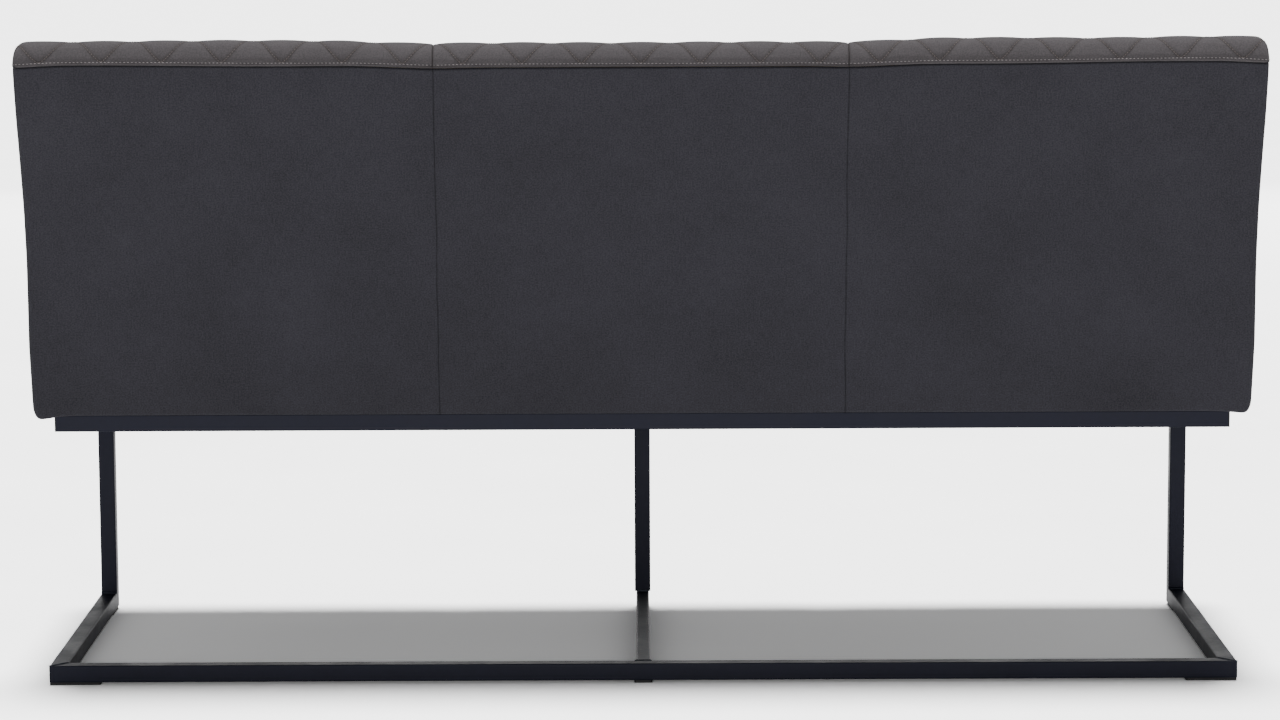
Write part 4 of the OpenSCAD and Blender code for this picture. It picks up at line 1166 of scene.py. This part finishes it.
def weldLine(kind, name, start, end):
    # height = high (1 - t squared)(0.7 + 0.3 |sin|) across t and along the line, a little uneven
    start, end, up = (np.array(v, float) for v in (start, end, (0, 0, 1)))
    seed = bead["seeds"][name]
    long = np.linalg.norm(end - start)
    along = (end - start) / long
    far, offset = np.meshgrid(np.linspace(0, long, int(long / bead["step"])),
                              np.linspace(-1, 1, bead["cols"]), indexing="ij")
    phase = np.pi * far / bead["ripple"] + bead["bow"] * offset * offset
    phase += waver(far, *bead["phaseWave"], seed)
    ripple = bead["valley"] + (1 - bead["valley"]) * np.abs(np.sin(phase))
    ends = rise(np.minimum(far, long - far), *bead["end"])
    high = bead["high"] * (1 - offset * offset) * ripple * ends - bead["sink"]
    wide = bead["wide"] * (1 + wobble(bead["widthWave"], far, seed))
    place = start + far[..., None] * along + (offset * wide)[..., None] * np.cross(up, along)
    top = place + high[..., None] * up
    low = place[:, [0, -1]] - bead["root"] * up
    dress(makePiece(kind + name, *closedGrid(top[:, ::-1], low[:, ::-1])[:2]), "weld")


corner, tubeRear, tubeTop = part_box("floor_rear_tube")[1]
tubeFront = tubeRear - bead["tube"]
for name in ("left", "right"):
    weldLine("mitre_weld_", name, (sides[name] * corner, tubeRear, tubeTop),
             (sides[name] * (corner - bead["tube"]), tubeFront, tubeTop))
weldLine("butt_weld_", "middle", (-bead["tube"] / 2, tubeFront, tubeTop),
         (bead["tube"] / 2, tubeFront, tubeTop))
print("weld lines made")

# Dust cover: thin cloth stapled under the seat's timber, sagging a little between the steel arms
dust = {
    "half": 0.8917, "front": -0.2872, "rear": 0.2155, "z": 0.3859, "thick": 0.0006, "sag": 0.0011,
    "arm": 0.86, "bars": (-0.26, 0.196), "cols": 120, "rows": 36, "pull": (0.00012, 0.03),
    "pullWave": (0.045, 7), "pullFade": 0.008, "sagFade": 0.05,
}


def dustCover():
    # the sag is sqrt |sin| along the bench times sin across it, nothing over the arms and the bars,
    # with fine pulls at the edge
    x, y = np.meshgrid(np.linspace(-dust["half"], dust["half"], dust["cols"]),
                       np.linspace(dust["rear"], dust["front"], dust["rows"]))
    between = np.abs(np.sin(np.pi * np.clip(x, -dust["arm"], dust["arm"]) / dust["arm"]))
    low, high = dust["bars"]
    across = np.sin(np.pi * np.clip((y - low) / (high - low), 0, 1))
    edge = np.minimum(dust["half"] - np.abs(x), np.minimum(y - dust["front"], dust["rear"] - y))
    pulls = waver(x + y, *dust["pullWave"]) * dent(dust["pull"], edge)
    pulls = pulls * rise(edge, 0, dust["pullFade"])
    sag = dust["sag"] * np.sqrt(between) * across * rise(edge, 0, dust["sagFade"])
    grid = np.stack([x, y, dust["z"] - dust["thick"] - sag - np.abs(pulls)], axis=-1)
    piece = makePiece("dust_sheet", grid.reshape(-1, 3), [gridFaces(*x.shape)[:, ::-1]],
                      np.stack([x, y], -1).reshape(-1, 2))
    shell = piece.modifiers.new("thickness", "SOLIDIFY")
    shell.thickness, shell.offset = dust["thick"], -1
    dress(piece, "dust_cloth", "dust_cover")


dustCover()
print("dust cover made")

if waiting:
    runAir()
    print("air pressure run")

for name in sides:
    for piece, slotName, node, look in ((pads[name][0], "quilted_cover", "back_cushion_", quilt),
                                        (seats[name][0], "seat_cover", "seat_cushion_", seat)):
        subdivide(piece)
        dress(piece, slotName, node + name, fill=look["fill"])
bpy.context.view_layer.update()


# Stitching: the row above the welt, the diamonds' channels, and rows beside the seat's seams; each kind
# has its thread's radius, the share of its step that shows and the share of the lift that it lacks
thread = {
    "length": 0.0055, "lift": 0.00042, "sides": 5, "rings": (0.1, 0.5, 0.9), "swell": (0.62, 1.0, 0.62),
    "arch": 0.5, "quilting": (0.0005, 0.7, 0.25), "welt": (0.00065, 0.56, 0.1), "seat": (0.0006, 0.62, 0.1),
    "keepOff": 0.05, "firstRow": 0.012, "weltSlant": 0.14, "seatSlant": 0.05,
}


def stitchPiece(name, starts, ends, normals, radius):
    # each stitch is a capsule from its start to its end: rings round its line, arched up in the middle
    along = ends - starts
    side = unit(np.cross(normals, along))
    up = unit(np.cross(along, side))
    n, count = thread["sides"], len(thread["rings"])
    turns = np.arange(n) / n * 2 * np.pi
    ring = side[:, None, :] * np.cos(turns)[:, None] + up[:, None, :] * np.sin(turns)[:, None]
    points = [starts[:, None, :]]
    for share, swell in zip(thread["rings"], thread["swell"]):
        lift = thread["arch"] * radius * np.sin(np.pi * share)
        points.append((starts + along * share + up * lift)[:, None, :] + ring * radius * swell)
    points = np.concatenate([*points, ends[:, None, :]], axis=1)
    i = np.arange(n)
    j = (i + 1) % n
    last = 1 + n * count
    start = quads(0 * i, 1 + j, 1 + i)
    finish = quads(last + 0 * i, 1 + n * (count - 1) + i, 1 + n * (count - 1) + j)
    walls = np.concatenate([1 + n * k + quads(i, j, n + j, n + i) for k in range(count - 1)])
    base = (np.arange(len(starts)) * (last + 1))[:, None, None]
    faces = [(base + part[None]).reshape(-1, part.shape[1]) for part in (start, finish, walls)]
    return makePiece(name, points.reshape(-1, 3), faces)


def gridStitches(kind, grid, rows, cols, dRow, dCol):
    # starts, ends and normals of stitches centred at the given places of a grid, run along its surface
    share, sink = thread[kind][1:]
    half = share / 2
    starts = sampleGrid(grid, rows - dRow * half, cols - dCol * half)
    ends = sampleGrid(grid, rows + dRow * half, cols + dCol * half)
    down = sampleGrid(grid, rows + 0.5, cols) - sampleGrid(grid, rows - 0.5, cols)
    right = sampleGrid(grid, rows, cols + 0.5) - sampleGrid(grid, rows, cols - 0.5)
    normals = unit(np.cross(down, right))
    lift = normals * thread["lift"] * (1 - sink)
    return starts + lift, ends + lift, normals


def sew(kind, name, slotName, *runs):
    # one piece of all the runs of stitches, in the thread of their kind
    starts, ends, normals = (np.concatenate(part) for part in zip(*runs))
    stitch = stitchPiece(name, starts, ends, normals, thread[kind][0])
    dress(stitch, slotName, material=threads[kind])


def alongLine(line, long):
    # places of even stitches along a line of grid points, in steps of its points
    count = int(long / thread["length"])
    return np.interp((np.arange(count) + 0.5) / count, shareAlong(line), np.arange(len(line)))


def quiltThread(sideName):
    # stitches at even steps along each line u + v = k + 1/2 and u - v = k + 1/2 within the panel
    piece, shape, full = pads[sideName]
    turned = sides[sideName] < 0
    cols, rows, steps, off = quilt["cols"], quilt["rows"], quilt["steps"], thread["keepOff"]
    diamond = np.hypot(full / cols, (backLong - quilt["topstitch"]) / rows)
    per = int(round(diamond / thread["length"]))
    v = (np.arange(rows * per) + 0.5) / per
    places = []
    for way in (1, -1):
        for k in range(-rows - 1, cols + rows + 1):
            u = k + 0.5 - way * v
            keep = (u > off) & (u < cols - off) & (v > thread["firstRow"]) & (v < rows - off)
            places.append(np.stack([u[keep], v[keep], np.full(keep.sum(), -way)], axis=1))
    u, v, way = np.concatenate(places).T
    col = 2 + ((cols - u) * steps if turned else len(quilt["seamCols"]) - 1 + u * steps)
    row = 2 + len(quilt["weltRows"]) + v * steps
    run = gridStitches("quilting", smoothGrid(piece, shape), row, col, steps / per,
                       (-way if turned else way) * steps / per)
    sew("quilting", "quilting_" + sideName, "quilted_cover", run)


def weltThread(sideName):
    # one row of slanted stitches along the topstitched edge of a pad
    piece, shape, full = pads[sideName]
    grid = smoothGrid(piece, shape)
    row = 2 + len(quilt["weltRows"])
    col = 2 + alongLine(grid[row, 2:-2], full)
    run = gridStitches("welt", grid, row + 0 * col, col, thread["weltSlant"], np.gradient(col))
    sew("welt", "welt_stitching_" + sideName, "quilted_cover", run)


def seatThread(sideName):
    # rows of stitches a little way in from each seam between the seat pads, top and front
    piece, shape = seats[sideName]
    grid = smoothGrid(piece, shape)
    row = 2 + alongLine(grid[2:-2, shape[1] // 2], seatLong)
    spot = 2 + seat["threadCol"]
    other = shape[1] - 1 - spot
    spots = {-1: [other], 0: [spot, other], 1: [spot]}[sides[sideName]]
    step, slant = np.gradient(row), thread["seatSlant"]
    sew("seat", "seat_stitching_" + sideName, "seat_cover",
        *[gridStitches("seat", grid, row, at + 0 * row, step, slant) for at in spots])


for name in sides:
    quiltThread(name)
    weltThread(name)
    seatThread(name)
print("stitching made")


# Floor and lights: the camera sees the paper brighter than it lights the bench
studio = {
    "floor": 60, "floorColour": rgb(240, 240, 240), "floorShade": rgb(232, 232, 232), "floorMottle": 3,
    "floorRough": 0.6, "floorSpecular": 0.2, "paper": 2.6,
    "world": 0.17, "aim": (0, 0, 0.45), "top": {"strength": 5.4, "angle": 14, "tilt": 7},
    "behind": {"energy": 150, "size": (5.0, 1.6), "place": (0, 7.5, 1.4)},
    "front": {"energy": 90, "size": (9.0, 1.6), "place": (0, -8.0, 1.7)},
}


def addFloor():
    # a wide flat square, mottled slowly; the camera sees the mottle multiplied by the paper's factor
    half = studio["floor"]
    points = half * np.array([[-1, -1, 0], [1, -1, 0], [1, 1, 0], [-1, 1, 0]], float)
    floor = makePiece("floor", points, [np.array([[0, 1, 2, 3]])], smooth=False)
    material, tree, spot = newMaterial("pale floor", studio["floorRough"], studio["floorSpecular"])
    shader = tree.nodes["Principled BSDF"]
    mottle = noise(tree, spot, studio["floorMottle"])
    colour = mixColour(tree, mottle, studio["floorColour"], studio["floorShade"])
    tree.links.new(colour, shader.inputs["Base Color"])
    paper = newNode(tree, "ShaderNodeBsdfDiffuse", {"Color": scaled(tree, colour, studio["paper"])})
    seen = newNode(tree, "ShaderNodeLightPath").outputs["Is Camera Ray"]
    both = newNode(tree, "ShaderNodeMixShader", {0: seen, 1: shader.outputs[0], 2: paper.outputs[0]})
    tree.links.new(both.outputs[0], tree.nodes["Material Output"].inputs["Surface"])
    floor.data.materials.append(material)


def addLight(name):
    # a rectangle of light that faces the middle of the bench
    look = studio[name]
    data = bpy.data.lights.new(name, "AREA")
    data.shape, data.energy = "RECTANGLE", look["energy"]
    data.size, data.size_y = look["size"]
    lamp = addObject(name, data)
    lamp.location = look["place"]
    lamp.rotation_mode = "QUATERNION"
    lamp.rotation_quaternion = (Vector(studio["aim"]) - Vector(look["place"])).to_track_quat("-Z", "Y")


def addSun():
    # a soft source overhead, tilted so that the shadow falls a little towards the camera
    look = studio["top"]
    data = bpy.data.lights.new("top", "SUN")
    data.energy, data.angle = look["strength"], np.radians(look["angle"])
    addObject("top", data).rotation_euler = (np.radians(look["tilt"]), 0, 0)


def addWorld():
    # even white light from all round
    world = bpy.data.worlds.new("studio")
    world.use_nodes = True
    colour, strength = list(world.node_tree.nodes["Background"].inputs)[:2]
    colour.default_value, strength.default_value = (1, 1, 1, 1), studio["world"]
    bpy.context.scene.world = world


addFloor()
addSun()
addLight("behind")
addLight("front")
addWorld()
print("stage set")
